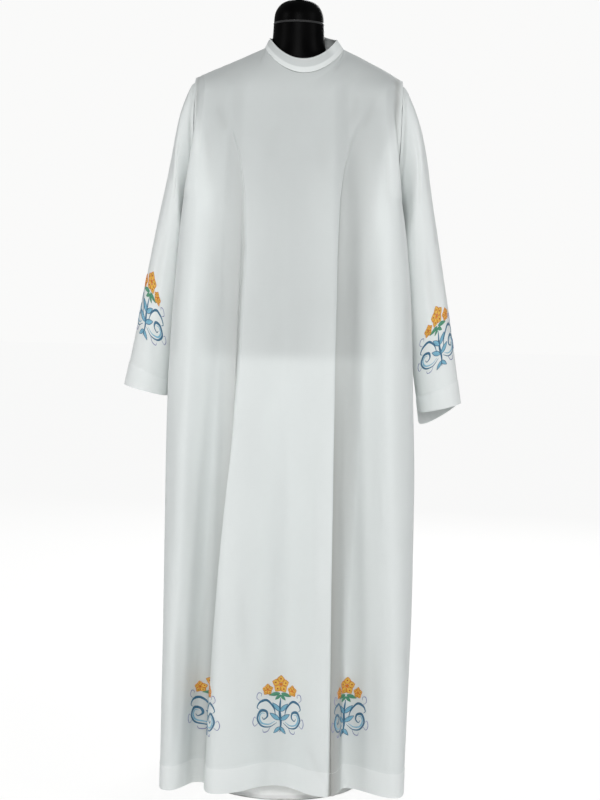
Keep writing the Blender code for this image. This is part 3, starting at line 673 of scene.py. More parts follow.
def new_piece(name, points, faces):
    mesh = bpy.data.meshes.new(name)
    mesh.vertices.add(len(points))
    mesh.vertices.foreach_set("co", np.asarray(points, np.float32).ravel())
    sizes = np.array([len(f) for f in faces])
    corners = np.concatenate([np.asarray(f) for f in faces])
    mesh.loops.add(int(sizes.sum()))
    mesh.loops.foreach_set("vertex_index", corners.astype(np.int32))
    mesh.polygons.add(len(faces))
    starts = np.concatenate([[0], np.cumsum(sizes)[:-1]])
    mesh.polygons.foreach_set("loop_start", starts.astype(np.int32))
    mesh.update(calc_edges=True)
    mesh.shade_smooth()
    mesh.set_sharp_from_angle(angle=SHARP_ANGLE)
    return linked(name, mesh)


def put_uv(mesh, per_point):
    layer = mesh.uv_layers.new(name="cloth")
    corners = np.empty(len(mesh.loops), np.int32)
    mesh.loops.foreach_get("vertex_index", corners)
    layer.data.foreach_set("uv", per_point[corners].astype(np.float32).ravel())


def put_value(mesh, name, values):
    attribute = mesh.attributes.new(name, "FLOAT", "POINT")
    attribute.data.foreach_set("value", np.asarray(values, np.float32))


def form_behind(points, normals, spread):
    """Share of the view through the cloth that the dark form takes, at each point.

    The view goes in against the cloth's normal where it faces aside or up, and straight back or
    forward elsewhere. spread is how far its fan opens.
    """
    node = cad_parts["torso"].data
    tree = BVHTree.FromPolygons([v.co[:] for v in node.vertices],
                                [p.vertices[:] for p in node.polygons])
    side = smooth(*SHADE_ASIDE, np.abs(normals[:, 0]))
    up = smooth(*SHADE_UP, normals[:, 2])
    look = units(np.column_stack([-normals[:, 0] * side, -np.sign(normals[:, 1]) * (1 - side),
                                  -SHADE_DOWNWARD * up]))
    shade = np.zeros(len(points))
    for i, (point, heading) in enumerate(zip(points, look)):
        origin, ahead = Vector((point[0] * SHADE_SPREAD, point[1], point[2])), Vector(heading)
        aside = ahead.cross((0, 0, 1)).normalized()
        above = aside.cross(ahead)
        for a, b in SHADE_FAN:
            ray = ahead + (aside * a + above * b) * spread
            distance = tree.ray_cast(origin, ray, SHADE_REACH)[3]
            if distance is not None:
                shade[i] += math.exp(-max(0.0, distance - SHADE_FULL) / SHADE_DECAY)
    return shade / len(SHADE_FAN)


# ------------------------
# Creases, by where they show: x and z in metres at the start and the end, seen from the front (or
# the back), then bow, width, depth and lean. Depth above 0 is a trough and below 0 a ridge, bow
# bends the middle sideways, and lean steepens one flank.
# A trough also gets painted shade, darker the deeper it is.
FRONT_CREASES = (
    (-0.160, 1.372, -0.128, 1.300, 0.004, 0.009, 0.0030, 0.3),
    (0.155, 1.391, 0.122, 1.308, -0.005, 0.008, 0.0026, -0.3),
    (0.126, 1.392, 0.095, 1.315, -0.004, 0.009, 0.0014, 0.0),
    (0.176, 1.345, 0.150, 1.225, -0.005, 0.010, 0.0020, 0.0),
    (-0.176, 1.330, -0.160, 1.170, 0.004, 0.012, 0.0022, 0.0),
    (-0.150, 1.210, -0.152, 0.960, 0.004, 0.014, 0.0026, 0.0),
    (0.150, 1.160, 0.152, 0.930, -0.004, 0.016, 0.0020, 0.0),
    (0.178, 1.300, 0.190, 1.150, 0.004, 0.008, 0.0026, 0.2),
    (0.232, 0.332, 0.240, 0.262, 0.003, 0.007, 0.0030, 0.0),
    (-0.086, 0.459, -0.064, 0.235, 0.003, 0.013, 0.0018, 0.0),
    (0.049, 0.137, 0.090, 0.054, 0.004, 0.008, 0.0020, 0.2),
    (0.018, 0.960, 0.026, 0.520, 0.006, 0.022, -0.0016, 0.0),
    (0.050, 0.700, 0.062, 0.330, -0.004, 0.016, -0.0018, 0.0),
    (-0.196, 0.860, -0.205, 0.420, 0.006, 0.016, -0.0026, 0.0),
    (-0.200, 0.400, -0.208, 0.090, -0.005, 0.012, 0.0026, 0.0),
    (0.176, 0.930, 0.190, 0.470, -0.006, 0.018, -0.0024, 0.0),
    (0.168, 0.360, 0.186, 0.100, 0.005, 0.014, 0.0022, 0.0),
    (-0.030, 1.340, -0.052, 1.230, 0.005, 0.014, 0.0009, 0.0),
    (0.040, 1.330, 0.052, 1.215, -0.004, 0.013, 0.0010, 0.0),
)
BACK_CREASES = (
    (0.150, 1.380, 0.112, 1.270, -0.006, 0.013, 0.0040, -0.3),
    (0.116, 1.315, 0.112, 1.010, 0.004, 0.013, 0.0055, -0.4),
    (0.134, 1.150, 0.142, 0.720, 0.000, 0.014, 0.0040, 0.0),
    (-0.148, 1.378, -0.116, 1.262, 0.006, 0.012, 0.0042, 0.3),
    (-0.112, 1.320, -0.110, 1.000, -0.003, 0.013, 0.0058, 0.5),
    (-0.130, 1.140, -0.140, 0.700, 0.003, 0.015, 0.0042, 0.0),
    (0.030, 1.180, 0.024, 0.800, 0.004, 0.018, 0.0020, 0.0),
    (-0.040, 1.080, -0.050, 0.640, -0.004, 0.020, -0.0020, 0.0),
    (0.062, 0.900, 0.070, 0.480, 0.005, 0.018, -0.0018, 0.0),
    (0.186, 0.860, 0.196, 0.400, -0.006, 0.017, -0.0022, 0.0),
    (-0.190, 0.880, -0.198, 0.460, 0.005, 0.018, -0.0020, 0.0),
    (-0.030, 0.190, -0.066, 0.075, -0.006, 0.012, 0.0018, 0.0),
    (0.180, 1.330, 0.190, 1.190, 0.003, 0.009, 0.0026, 0.0),
    (-0.176, 1.335, -0.186, 1.200, -0.003, 0.009, 0.0028, 0.0),
)
# Crests beside which the cloth falls sharply away. side is the way it falls along the panel, and
# broader is how much further than the fall its painted shade reaches. A row is x and z on the
# crest, how deep the cloth falls, how far it takes to come back, and how much shade is painted down
# there.
Pleat = namedtuple("Pleat", "side broader rows")
PLEATS = {
    -1: (
        Pleat(-1, 1.0, (
            (-0.128, 1.325, 0.0000, 0.020, 0.00), (-0.108, 1.262, 0.0070, 0.030, 0.12),
            (-0.096, 1.184, 0.0130, 0.045, 0.22), (-0.092, 1.078, 0.0180, 0.062, 0.31),
            (-0.098, 0.884, 0.0220, 0.056, 0.42), (-0.110, 0.691, 0.0240, 0.058, 0.60),
            (-0.134, 0.404, 0.0160, 0.056, 0.60), (-0.150, 0.060, 0.0100, 0.060, 0.30),
        )),
        Pleat(1, 1.3, (
            (0.122, 1.335, 0.0000, 0.040, 0.00), (0.108, 1.296, 0.0050, 0.050, 0.09),
            (0.095, 1.237, 0.0110, 0.056, 0.19), (0.089, 1.179, 0.0150, 0.060, 0.26),
            (0.087, 1.082, 0.0180, 0.064, 0.32), (0.087, 0.889, 0.0190, 0.060, 0.42),
            (0.088, 0.697, 0.0200, 0.056, 0.78), (0.089, 0.410, 0.0190, 0.056, 0.96),
            (0.090, 0.060, 0.0160, 0.060, 0.96),
        )),
    ),
    1: (
        Pleat(1, 1.0, (
            (-0.120, 1.310, 0.0000, 0.020, 0.00), (-0.100, 1.230, 0.0080, 0.034, 0.19),
            (-0.090, 1.080, 0.0150, 0.050, 0.31), (-0.098, 0.800, 0.0170, 0.056, 0.37),
            (-0.108, 0.400, 0.0140, 0.056, 0.34), (-0.116, 0.060, 0.0100, 0.060, 0.28),
        )),
        Pleat(-1, 1.0, (
            (0.126, 1.330, 0.0000, 0.020, 0.00), (0.106, 1.250, 0.0070, 0.034, 0.19),
            (0.094, 1.100, 0.0140, 0.050, 0.31), (0.098, 0.820, 0.0160, 0.056, 0.37),
            (0.106, 0.420, 0.0140, 0.056, 0.34), (0.116, 0.060, 0.0100, 0.060, 0.28),
        )),
    ),
}
# Grooves inside the armholes, with painted shade, at a panel's first and last edge: depth, offset
# and reach
ARMHOLE_GROOVES = {
    -1: ((0.0040, 0.008, 0.006), (0.0060, 0.014, 0.009)),
    1: ((0.0045, 0.010, 0.007), (0.0050, 0.012, 0.008)),
}
# Creases of the sleeves: the side they show from, -1 the front and 1 the back, and then as above
SLEEVE_CREASES = {
    -1: (
        (-1, -0.232, 1.385, -0.262, 1.200, 0.006, 0.010, -0.0022, 0.0),
        (-1, -0.218, 1.330, -0.246, 1.150, -0.004, 0.009, 0.0026, 0.2),
        (-1, -0.250, 1.120, -0.276, 0.960, 0.006, 0.012, 0.0020, 0.0),
        (-1, -0.292, 1.060, -0.300, 0.900, -0.005, 0.010, -0.0014, 0.0),
        (-1, -0.262, 0.960, -0.272, 0.850, 0.004, 0.010, 0.0012, 0.0),
        (1, -0.226, 1.350, -0.258, 1.160, 0.005, 0.011, 0.0026, 0.0),
        (1, -0.252, 1.130, -0.284, 0.950, -0.006, 0.012, 0.0022, 0.0),
        (1, -0.288, 1.040, -0.306, 0.880, 0.004, 0.011, -0.0016, 0.0),
    ),
    1: (
        (-1, 0.240, 1.388, 0.270, 1.190, -0.006, 0.010, -0.0024, 0.0),
        (-1, 0.224, 1.345, 0.250, 1.150, 0.004, 0.009, 0.0028, 0.2),
        (-1, 0.268, 1.230, 0.286, 1.080, -0.004, 0.010, 0.0020, 0.0),
        (-1, 0.258, 1.110, 0.282, 0.930, -0.006, 0.012, 0.0022, 0.0),
        (-1, 0.300, 1.030, 0.314, 0.880, 0.005, 0.010, -0.0014, 0.0),
        (1, 0.232, 1.350, 0.262, 1.150, -0.005, 0.011, 0.0026, 0.0),
        (1, 0.256, 1.110, 0.292, 0.930, 0.006, 0.012, 0.0022, 0.0),
    ),
}

# ------------------------
# Dress form and stand
# Sections of the form: height, half width, depth to the front and to the back, and corner
FORM_LEVELS = (
    (0.872, 0.140, 0.088, 0.088, 2.3),
    (0.8745, 0.153, 0.099, 0.098, 2.3),
    (0.882, 0.162, 0.106, 0.104, 2.3),
    (0.905, 0.167, 0.110, 0.107, 2.3),
    (0.960, 0.166, 0.112, 0.108, 2.3),
    (1.020, 0.156, 0.106, 0.101, 2.2),
    (1.080, 0.146, 0.099, 0.093, 2.2),
    (1.140, 0.145, 0.100, 0.090, 2.2),
    (1.200, 0.152, 0.108, 0.093, 2.2),
    (1.260, 0.164, 0.114, 0.097, 2.3),
    (1.310, 0.176, 0.108, 0.097, 2.4),
    (1.350, 0.185, 0.092, 0.092, 2.5),
    (1.380, 0.188, 0.078, 0.083, 2.5),
    (1.402, 0.184, 0.068, 0.073, 2.4),
    (1.420, 0.168, 0.062, 0.065, 2.2),
    (1.436, 0.138, 0.059, 0.061, 2.1),
    (1.450, 0.100, 0.054, 0.053, 2.0),
    (1.464, 0.073, 0.051, 0.050, 2.0),
    (1.480, 0.0575, 0.050, 0.049, 2.0),
    (1.500, 0.0525, 0.049, 0.048, 2.0),
    (1.5330, 0.0505, 0.048, 0.047, 2.0),
)
# Turned parts: radius and height of each corner, from the bottom up
RING = ((0.0000, 1.5331), (0.0500, 1.5331), (0.0512, 1.5350), (0.0500, 1.5369), (0.0000, 1.5369))
CAP = ((0.0000, 1.5370), (0.0500, 1.5370), (0.0498, 1.5440), (0.0485, 1.5540), (0.0445, 1.5640),
       (0.0380, 1.5725), (0.0290, 1.5785), (0.0180, 1.5815), (0.0080, 1.5822), (0.0000, 1.5822))
FINIAL = ((0.0000, 1.5823), (0.0105, 1.5823), (0.0100, 1.5850), (0.0068, 1.5880), (0.0068, 1.5930),
          (0.0110, 1.5970), (0.0135, 1.6030), (0.0135, 1.6080), (0.0110, 1.6140), (0.0060, 1.6175),
          (0.0000, 1.6185))
SOCKET = ((0.0000, 0.8480), (0.0220, 0.8480), (0.0240, 0.8500), (0.0240, 0.8640), (0.0600, 0.8665),
          (0.0620, 0.8690), (0.0620, 0.8719), (0.0000, 0.8719))
HUB = ((0.0000, 0.0252), (0.0320, 0.0252), (0.0320, 0.0300), (0.0240, 0.0350), (0.0185, 0.0480),
       (0.0180, 0.0700), (0.0165, 0.0720), (0.0000, 0.0720))
BASE = ((0.0000, 0.0000), (0.1600, 0.0000), (0.1640, 0.0030), (0.1640, 0.0090), (0.1610, 0.0125),
        (0.1300, 0.0185), (0.0800, 0.0235), (0.0400, 0.0251), (0.0000, 0.0251))
BUTTON = ((0.0000, 0.0000), (0.0050, 0.0000), (0.0055, 0.0005), (0.0055, 0.0017), (0.0050, 0.0022),
          (0.0043, 0.0021), (0.0036, 0.0016), (0.0000, 0.0015))
POLE = ((0.0, 0.0721), (0.0125, 0.0721), (0.0125, 0.8479), (0.0, 0.8479))
HOLE_PLACE = 0.0013  # of the button's holes, from its middle both ways
# The button's place on the collar, from the middle of the lap
BUTTON_ASIDE, BUTTON_RISE, BUTTON_UP = -0.004, 0.0008, 0.0012


def rounded(profile, finer=4, corner=math.radians(35)):
    """A turned profile with its gentle bends drawn as curves and its sharp corners kept."""
    points = np.array(profile)
    steps = np.diff(points, axis=0)
    turn = np.abs(np.diff(np.unwrap(np.arctan2(steps[:, 1], steps[:, 0]))))
    tangent = np.zeros_like(points)
    for i in range(1, len(points) - 1):
        if turn[i - 1] < corner:
            tangent[i] = units(steps[i - 1] + steps[i])
    found = []
    for i, step in enumerate(steps):
        length = np.linalg.norm(step)
        start = tangent[i] * length if tangent[i].any() else step
        end = tangent[i + 1] * length if tangent[i + 1].any() else step
        bends = tangent[i].any() or tangent[i + 1].any()
        for k in range(finer if bends else 1):
            found.append(hermite(points[i], start, points[i + 1], end, k / finer))
    return found + [points[-1]]


def turned(name, profile, sides=96):
    """Closed solid turned about the pole's axis from (radius, height) pairs, bottom first."""
    points, faces, rings = [], [], []
    for radius, height in profile:
        radius = max(radius, 0.0)
        count = sides if radius > 1e-6 else 1
        rings.append(range(len(points), len(points) + count))
        for i in range(count):
            angle = 2 * math.pi * i / sides
            points.append((radius * math.cos(angle), radius * math.sin(angle), height))
    for low, high in zip(rings, rings[1:]):
        for i in range(sides):
            j = i + 1
            quad = (low[i % len(low)], low[j % len(low)], high[j % len(high)], high[i % len(high)])
            quad = tuple(dict.fromkeys(quad))
            if len(quad) > 2:
                faces.append(quad)
    return new_piece(name, points, faces)


def ring_quads(count, sides):
    """Faces between neighbouring rings of points."""
    return [(r * sides + c, r * sides + (c + 1) % sides, (r + 1) * sides + (c + 1) % sides,
             (r + 1) * sides + c) for r in range(count - 1) for c in range(sides)]


def form_torso(name, sides=120, finer=6):
    """The form's body, through its sections and smooth between them."""
    heights, *columns = zip(*FORM_LEVELS)
    angle = 2 * np.pi * np.arange(sides) / sides
    across, along = np.cos(angle), np.sin(angle)
    rings = []
    for i in range((len(heights) - 1) * finer + 1):
        k, share = divmod(i, finer)
        z = heights[k] + ((heights[min(k + 1, len(heights) - 1)] - heights[k]) * share / finer)
        half, front, back, corner = (monotone(heights, column, z) for column in columns)
        x = half * np.sign(across) * np.abs(across) ** (2 / corner)
        y = np.where(along > 0, back, front) * np.sign(along) * np.abs(along) ** (2 / corner)
        rings.append(np.column_stack([x, y, np.full(sides, z)]))
    points = np.concatenate(rings)
    caps = [tuple(reversed(range(sides))), tuple(range(len(points) - sides, len(points)))]
    return new_piece(name, points, caps + ring_quads(len(rings), sides))


# ------------------------
# Finishes
class Tree:
    """Short way to add nodes and links to a node tree."""

    def __init__(self, tree):
        self.tree = tree

    def add(self, kind, settings=(), **inputs):
        node = self.tree.nodes.new(kind)
        for name, value in settings:
            setattr(node, name, value)
        for name, value in inputs.items():
            self.feed(node, name, value)
        return node

    def feed(self, node, name, value):
        """Links or sets an input by its name, or by its number as i0, i1 and so on."""
        numbered = name[0] == "i" and name[1:].isdigit()
        socket = node.inputs[int(name[1:]) if numbered else name]
        if isinstance(value, bpy.types.NodeSocket):
            self.tree.links.new(value, socket)
        else:
            socket.default_value = value

    def math(self, operation, a, b=None):
        node = self.add("ShaderNodeMath", [("operation", operation)], i0=a)
        if b is not None:
            self.feed(node, "i1", b)
        return node.outputs[0]

    def plus(self, a, b):
        return self.math("ADD", a, b)

    def times(self, a, b):
        return self.math("MULTIPLY", a, b)

    def mix(self, share, a, b):
        """Colour a turning into colour b."""
        return self.add("ShaderNodeMix", [("data_type", "RGBA")], i0=share, i6=a, i7=b).outputs[2]

    def ramp(self, value, low, high, to_low=0.0, to_high=1.0):
        node = self.add("ShaderNodeMapRange", [("interpolation_type", "SMOOTHSTEP")],
                        i0=value, i1=low, i2=high, i3=to_low, i4=to_high)
        return node.outputs[0]

    def noise(self, vector, scale, detail=3.0, roughness=0.5):
        return self.add("ShaderNodeTexNoise", Vector=vector, Scale=scale, Detail=detail,
                        Roughness=roughness).outputs["Fac"]

    def stretched(self, vector, x, y, z=1.0):
        return self.add("ShaderNodeMapping", Vector=vector, Scale=(x, y, z)).outputs["Vector"]

    def scaled(self, vector, factor):
        return self.add("ShaderNodeVectorMath", [("operation", "SCALE")],
                        i0=vector, Scale=factor).outputs[0]

    def attribute(self, name):
        return self.add("ShaderNodeAttribute", [("attribute_name", name)]).outputs["Fac"]

    def cloth_uv(self):
        return self.add("ShaderNodeUVMap", [("uv_map", "cloth")]).outputs["UV"]

    def object_place(self):
        return self.add("ShaderNodeTexCoord").outputs["Object"]

    def seen(self):
        """1 where the camera sees it directly, and 0 where it only lights something."""
        return self.add("ShaderNodeLightPath").outputs["Is Camera Ray"]

    def group(self, name, **inputs):
        """Outputs of one of the shared groups, which is made when it is first needed."""
        node = self.tree.nodes.new("ShaderNodeGroup")
        node.node_tree = bpy.data.node_groups.get(name) or GROUPS[name]()
        for label, value in inputs.items():
            self.feed(node, label, value)
        return node.outputs


def new_group(name, inputs, outputs):
    """A new shader node group, from (name, default) rows and the names of what it gives.

    An input is a number, or a vector where its default is None.
    """
    tree = bpy.data.node_groups.new(name, "ShaderNodeTree")
    for label, default in inputs:
        kind = "NodeSocketVector" if default is None else "NodeSocketFloat"
        socket = tree.interface.new_socket(label, in_out="INPUT", socket_type=kind)
        if default is not None:
            socket.default_value = default
    for label in outputs:
        tree.interface.new_socket(label, in_out="OUTPUT", socket_type="NodeSocketFloat")
    build = Tree(tree)
    given = tree.nodes.new("NodeGroupInput").outputs
    return tree, build, given, tree.nodes.new("NodeGroupOutput")


def weave_group():
    """Plain weave with slubs: threads a pitch apart both ways on the cloth's UV map, in metres."""
    tree, build, given, out = new_group(
        "Plain Weave", [("UV", None), ("Pitch", 0.0006), ("Slub", 1.0)], ["Height", "Shade"])
    parts = build.add("ShaderNodeSeparateXYZ", i0=given["UV"]).outputs
    turn = build.math("DIVIDE", math.pi, given["Pitch"])
    warp = build.math("SINE", build.times(parts["X"], turn))
    weft = build.math("SINE", build.times(parts["Y"], turn))
    threads = build.plus(build.math("ABSOLUTE", warp), build.math("ABSOLUTE", weft))
    height = build.plus(build.times(build.times(warp, weft), 0.35), build.times(threads, 0.5))
    across = build.noise(build.stretched(given["UV"], 28.0, 900.0), 1.0, 2.0)
    down = build.noise(build.stretched(given["UV"], 1100.0, 22.0), 1.0, 2.0)
    slubs = build.times(build.ramp(down, 0.55, 0.82), 0.6)
    slubs = build.times(build.plus(build.ramp(across, 0.52, 0.80), slubs), given["Slub"])
    build.feed(out, "Height", build.plus(height, build.times(slubs, 0.8)))
    broad = build.noise(build.stretched(given["UV"], 9.0, 5.0), 1.0, 3.0)
    shade = build.ramp(broad, 0.3, 0.7, 0.985, 1.012)
    build.feed(out, "Shade", build.math("SUBTRACT", shade, build.times(slubs, 0.016)))
    return tree


def satin_group():
    """Satin stitches side by side, on a UV map that runs along and across a stroke in metres."""
    tree, build, given, out = new_group(
        "Satin Stitches", [("UV", None), ("Pitch", 0.0005), ("Slant", 0.35)], ["Height", "Shade"])
    parts = build.add("ShaderNodeSeparateXYZ", i0=given["UV"]).outputs
    along = build.plus(parts["X"], build.times(parts["Y"], given["Slant"]))
    turns = build.math("DIVIDE", along, given["Pitch"])
    rib = build.math("ABSOLUTE", build.math("SINE", build.times(turns, math.pi)))
    cell = build.add("ShaderNodeTexWhiteNoise", [("noise_dimensions", "1D")],
                     W=build.math("FLOOR", turns)).outputs["Value"]
    build.feed(out, "Height", rib)
    tone = build.plus(build.times(rib, 0.28), build.times(cell, 0.14))
    build.feed(out, "Shade", build.plus(tone, 0.68))
    return tree


def dust_group():
    """Dust that settles on faces that look up, in soft patches."""
    tree, build, given, out = new_group(
        "Settled Dust", [("Amount", 0.3), ("Scale", 30.0)], ["Mask"])
    normal = build.add("ShaderNodeNewGeometry").outputs["Normal"]
    facing = build.add("ShaderNodeSeparateXYZ", i0=normal).outputs["Z"]
    patch = build.ramp(build.noise(build.object_place(), given["Scale"], 5.0, 0.6), 0.35, 0.75)
    up = build.ramp(facing, 0.35, 0.95)
    build.feed(out, "Mask", build.times(build.times(patch, up), given["Amount"]))
    return tree


GROUPS = {"Plain Weave": weave_group, "Satin Stitches": satin_group, "Settled Dust": dust_group}


class Finish(Tree):
    """A new material with a Principled shader, and a builder for its node tree."""

    def __init__(self, name, **sockets):
        self.material = bpy.data.materials.new(name)
        self.material.use_nodes = True
        super().__init__(self.material.node_tree)
        self.shader = self.tree.nodes["Principled BSDF"]
        self.give(**sockets)

    def give(self, **sockets):
        """Feeds the shader's sockets, whose names are written with underscores."""
        for label, value in sockets.items():
            self.feed(self.shader, label.replace("_", " "), value)

    def bump(self, height, strength, distance):
        node = self.add("ShaderNodeBump", Height=height, Strength=strength, Distance=distance)
        self.give(Normal=node.outputs["Normal"])

    def two_tone(self, value, one, two):
        """A colour that wanders softly between two."""
        return self.mix(self.ramp(value, 0.3, 0.7), (*one, 1.0), (*two, 1.0))


def cloth_finish():
    """White plain-woven polyester: greyer in one layer and before the dark form, painted shade in
    folds.
    """
    looks = bpy.context.scene.alb_cloth
    build = Finish("white_polyester", Sheen_Weight=0.12, Sheen_Roughness=0.45,
                   Specular_IOR_Level=0.28)
    weave = build.group("Plain Weave", UV=build.cloth_uv(), Pitch=looks.thread_pitch)
    double, behind = build.attribute("double_layer"), build.attribute("form_behind")
    colour = build.mix(double, (*looks.single_layer, 1.0), (*looks.double_layer, 1.0))
    shown = build.ramp(double, 0.0, 1.0, looks.show_through, 0.25 * looks.show_through)
    colour = build.mix(build.times(behind, shown), colour, (*looks.through_tint, 1.0))
    # Painted shade: the colour turns to the fold shade where deep_fold is high
    colour = build.mix(build.attribute("deep_fold"), colour, (*looks.fold_shade, 1.0))
    build.give(Base_Color=build.scaled(colour, weave["Shade"]),
               Roughness=build.ramp(weave["Height"], 0.0, 1.6, 0.70, 0.80))
    build.bump(weave["Height"], 0.22, 0.00012)
    return build.material


def thread_finish(name, colour, gloss=0.42, pitch=0.0005):
    """Twisted embroidery thread, laid side by side."""
    build = Finish(name, Roughness=gloss, Sheen_Weight=0.25, Sheen_Roughness=0.3,
                   Specular_IOR_Level=0.45)
    uv = build.cloth_uv()
    satin = build.group("Satin Stitches", UV=uv, Pitch=pitch)
    fade = build.ramp(build.noise(build.stretched(uv, 60.0, 220.0), 1.0, 2.0), 0.3, 0.7, 0.90, 1.06)
    build.give(Base_Color=build.scaled(colour, build.times(satin["Shade"], fade)))
    build.bump(satin["Height"], 0.5, 0.00025)
    return build.material


def form_finish():
    """Smooth black moulded form with a faint grain and a little dust on what looks up."""
    build = Finish("black_moulding", Specular_IOR_Level=0.02)
    place = build.object_place()
    dust = build.group("Settled Dust", Amount=0.004, Scale=24.0)["Mask"]
    smear = build.noise(place, 18.0, 4.0)
    black = build.two_tone(smear, (0.0012, 0.0012, 0.0013), (0.0026, 0.0026, 0.0027))
    build.give(Base_Color=build.mix(dust, black, (0.20, 0.20, 0.19, 1.0)),
               Roughness=build.plus(build.ramp(smear, 0.25, 0.75, 0.34, 0.44), dust))
    build.bump(build.noise(place, 1400.0, 3.0), 0.10, 0.0002)
    return build.material


def paint_finish(name, body, scuffed, dusty, gloss):
    """Powder paint on steel, with orange peel, dust and thin scuffs."""
    build = Finish(name)
    place = build.object_place()
    dust = build.group("Settled Dust", Amount=0.35, Scale=16.0)["Mask"]
    peel = build.noise(place, 420.0, 2.0)
    scuff = build.noise(build.stretched(place, 14.0, 90.0, 14.0), 1.0, 6.0, 0.7)
    colour = build.mix(build.ramp(scuff, 0.66, 0.76, 0.0, 0.5), (*body, 1.0), (*scuffed, 1.0))
    rough = build.ramp(peel, 0.2, 0.8, gloss, gloss + 0.10)
    build.give(Base_Color=build.mix(dust, colour, (*dusty, 1.0)),
               Roughness=build.plus(rough, build.times(dust, 0.5)))
    build.bump(peel, 0.25, 0.0003)
    return build.material


def black_paint():
    return paint_finish("black_paint", body=(0.017, 0.017, 0.018), scuffed=(0.085, 0.083, 0.080),
                        dusty=(0.30, 0.29, 0.27), gloss=0.34)


def white_paint():
    return paint_finish("white_paint", body=(0.78, 0.78, 0.77), scuffed=(0.62, 0.61, 0.59),
                        dusty=(0.66, 0.65, 0.62), gloss=0.42)


def button_finish():
    """Pearly white moulded button."""
    build = Finish("pearl_button", Coat_Weight=0.5, Coat_Roughness=0.1)
    cloud = build.noise(build.object_place(), 260.0, 3.0)
    build.give(Base_Color=build.two_tone(cloud, (0.78, 0.77, 0.72), (0.88, 0.88, 0.86)),
               Roughness=build.ramp(cloud, 0.3, 0.7, 0.18, 0.30))
    return build.material


def sewing_finish():
    """White spun polyester sewing thread."""
    build = Finish("sewing_thread", Roughness=0.55, Sheen_Weight=0.2)
    fluff = build.noise(build.object_place(), 3200.0, 2.0)
    build.give(Base_Color=build.two_tone(fluff, (0.74, 0.77, 0.76), (0.88, 0.90, 0.89)))
    build.bump(fluff, 0.3, 0.0001)
    return build.material


def floor_finish():
    """Pale floor that lights the robe as matt paint does, and is seen as pale as what is behind."""
    build = Finish("pale_floor", Roughness=0.9, Emission_Strength=1.0)
    cloud = build.ramp(build.noise(build.object_place(), 2.0, 4.0), 0.3, 0.7, 0.80, 0.85)
    seen = build.seen()
    build.give(Base_Color=build.mix(seen, cloud, build.times(cloud, 0.07)),
               Emission_Color=build.mix(seen, (0.0, 0.0, 0.0, 1.0), (0.906, 0.906, 0.902, 1.0)))
    return build.material


FINISHES = {
    "white_polyester": cloth_finish, "black_moulding": form_finish, "black_paint": black_paint,
    "white_paint": white_paint, "pearl_button": button_finish, "sewing_thread": sewing_finish,
    "pale_floor": floor_finish,
}


def finish(name):
    """A material of the robe's, which is made when it is first needed."""
    return bpy.data.materials.get(name) or FINISHES[name]()


# ------------------------
# Stitches along a path, as Geometry Nodes
STITCH_INPUTS = (("Pitch", "Float", 0.0026), ("Length", "Float", 0.0021),
                 ("Thickness", "Float", 0.0006), ("Unevenness", "Float", 0.12), ("Seed", "Int", 5),
                 ("Finish", "Material", None))


def stitch_tree():
    """Lays a short thread on each step of a path, turned to the path's stored normals."""
    tree = bpy.data.node_groups.new("Row of Stitches", "GeometryNodeTree")
    face = tree.interface
    face.new_socket("Geometry", in_out="INPUT", socket_type="NodeSocketGeometry")
    for label, kind, default in STITCH_INPUTS:
        socket = face.new_socket(label, in_out="INPUT", socket_type="NodeSocket" + kind)
        if default is not None:
            socket.default_value = default
    face.new_socket("Geometry", in_out="OUTPUT", socket_type="NodeSocketGeometry")
    build = Tree(tree)
    given, out = build.add("NodeGroupInput").outputs, build.add("NodeGroupOutput")
    curve = build.add("GeometryNodeMeshToCurve", Mesh=given["Geometry"]).outputs[0]
    steps = build.add("GeometryNodeResampleCurve", [("mode", "LENGTH")],
                      Curve=curve, Length=given["Pitch"]).outputs[0]
    normal = build.add("GeometryNodeInputNamedAttribute", [("data_type", "FLOAT_VECTOR")],
                       Name="surface_normal").outputs[0]
    tangent = build.add("GeometryNodeInputTangent").outputs[0]
    turn = build.add("FunctionNodeAxesToRotation", [("primary_axis", "X"), ("secondary_axis", "Z")],
                     i0=tangent, i1=normal).outputs[0]
    thread = build.add("GeometryNodeMeshUVSphere", Segments=6, Rings=4, Radius=0.5).outputs["Mesh"]
    sizes = build.add("ShaderNodeCombineXYZ", X=given["Length"], Y=given["Thickness"],
                      Z=given["Thickness"]).outputs[0]
    low = build.math("SUBTRACT", 1.0, given["Unevenness"])
    high = build.plus(1.0, given["Unevenness"])
    factor = build.add("FunctionNodeRandomValue", [("data_type", "FLOAT")],
                       Seed=given["Seed"], i2=low, i3=high).outputs[1]
    laid = build.add("GeometryNodeInstanceOnPoints", Points=steps, Instance=thread, Rotation=turn,
                     Scale=build.scaled(sizes, factor)).outputs[0]
    real = build.add("GeometryNodeRealizeInstances", Geometry=laid).outputs[0]
    shaded = build.add("GeometryNodeSetShadeSmooth", Geometry=real).outputs[0]
    build.feed(out, "Geometry", build.add("GeometryNodeSetMaterial", Geometry=shaded,
                                          Material=given["Finish"]).outputs[0])
    return tree


def set_input(modifier, label, value):
    for item in modifier.node_group.interface.items_tree:
        if item.in_out == "INPUT" and item.name == label:
            modifier[item.identifier] = value
            return
    raise ValueError("no input called " + label)


def with_modifiers(thing):
    """A mesh of what a piece looks like once its modifiers are done."""
    graph = bpy.context.evaluated_depsgraph_get()
    return bpy.data.meshes.new_from_object(thing.evaluated_get(graph), depsgraph=graph)


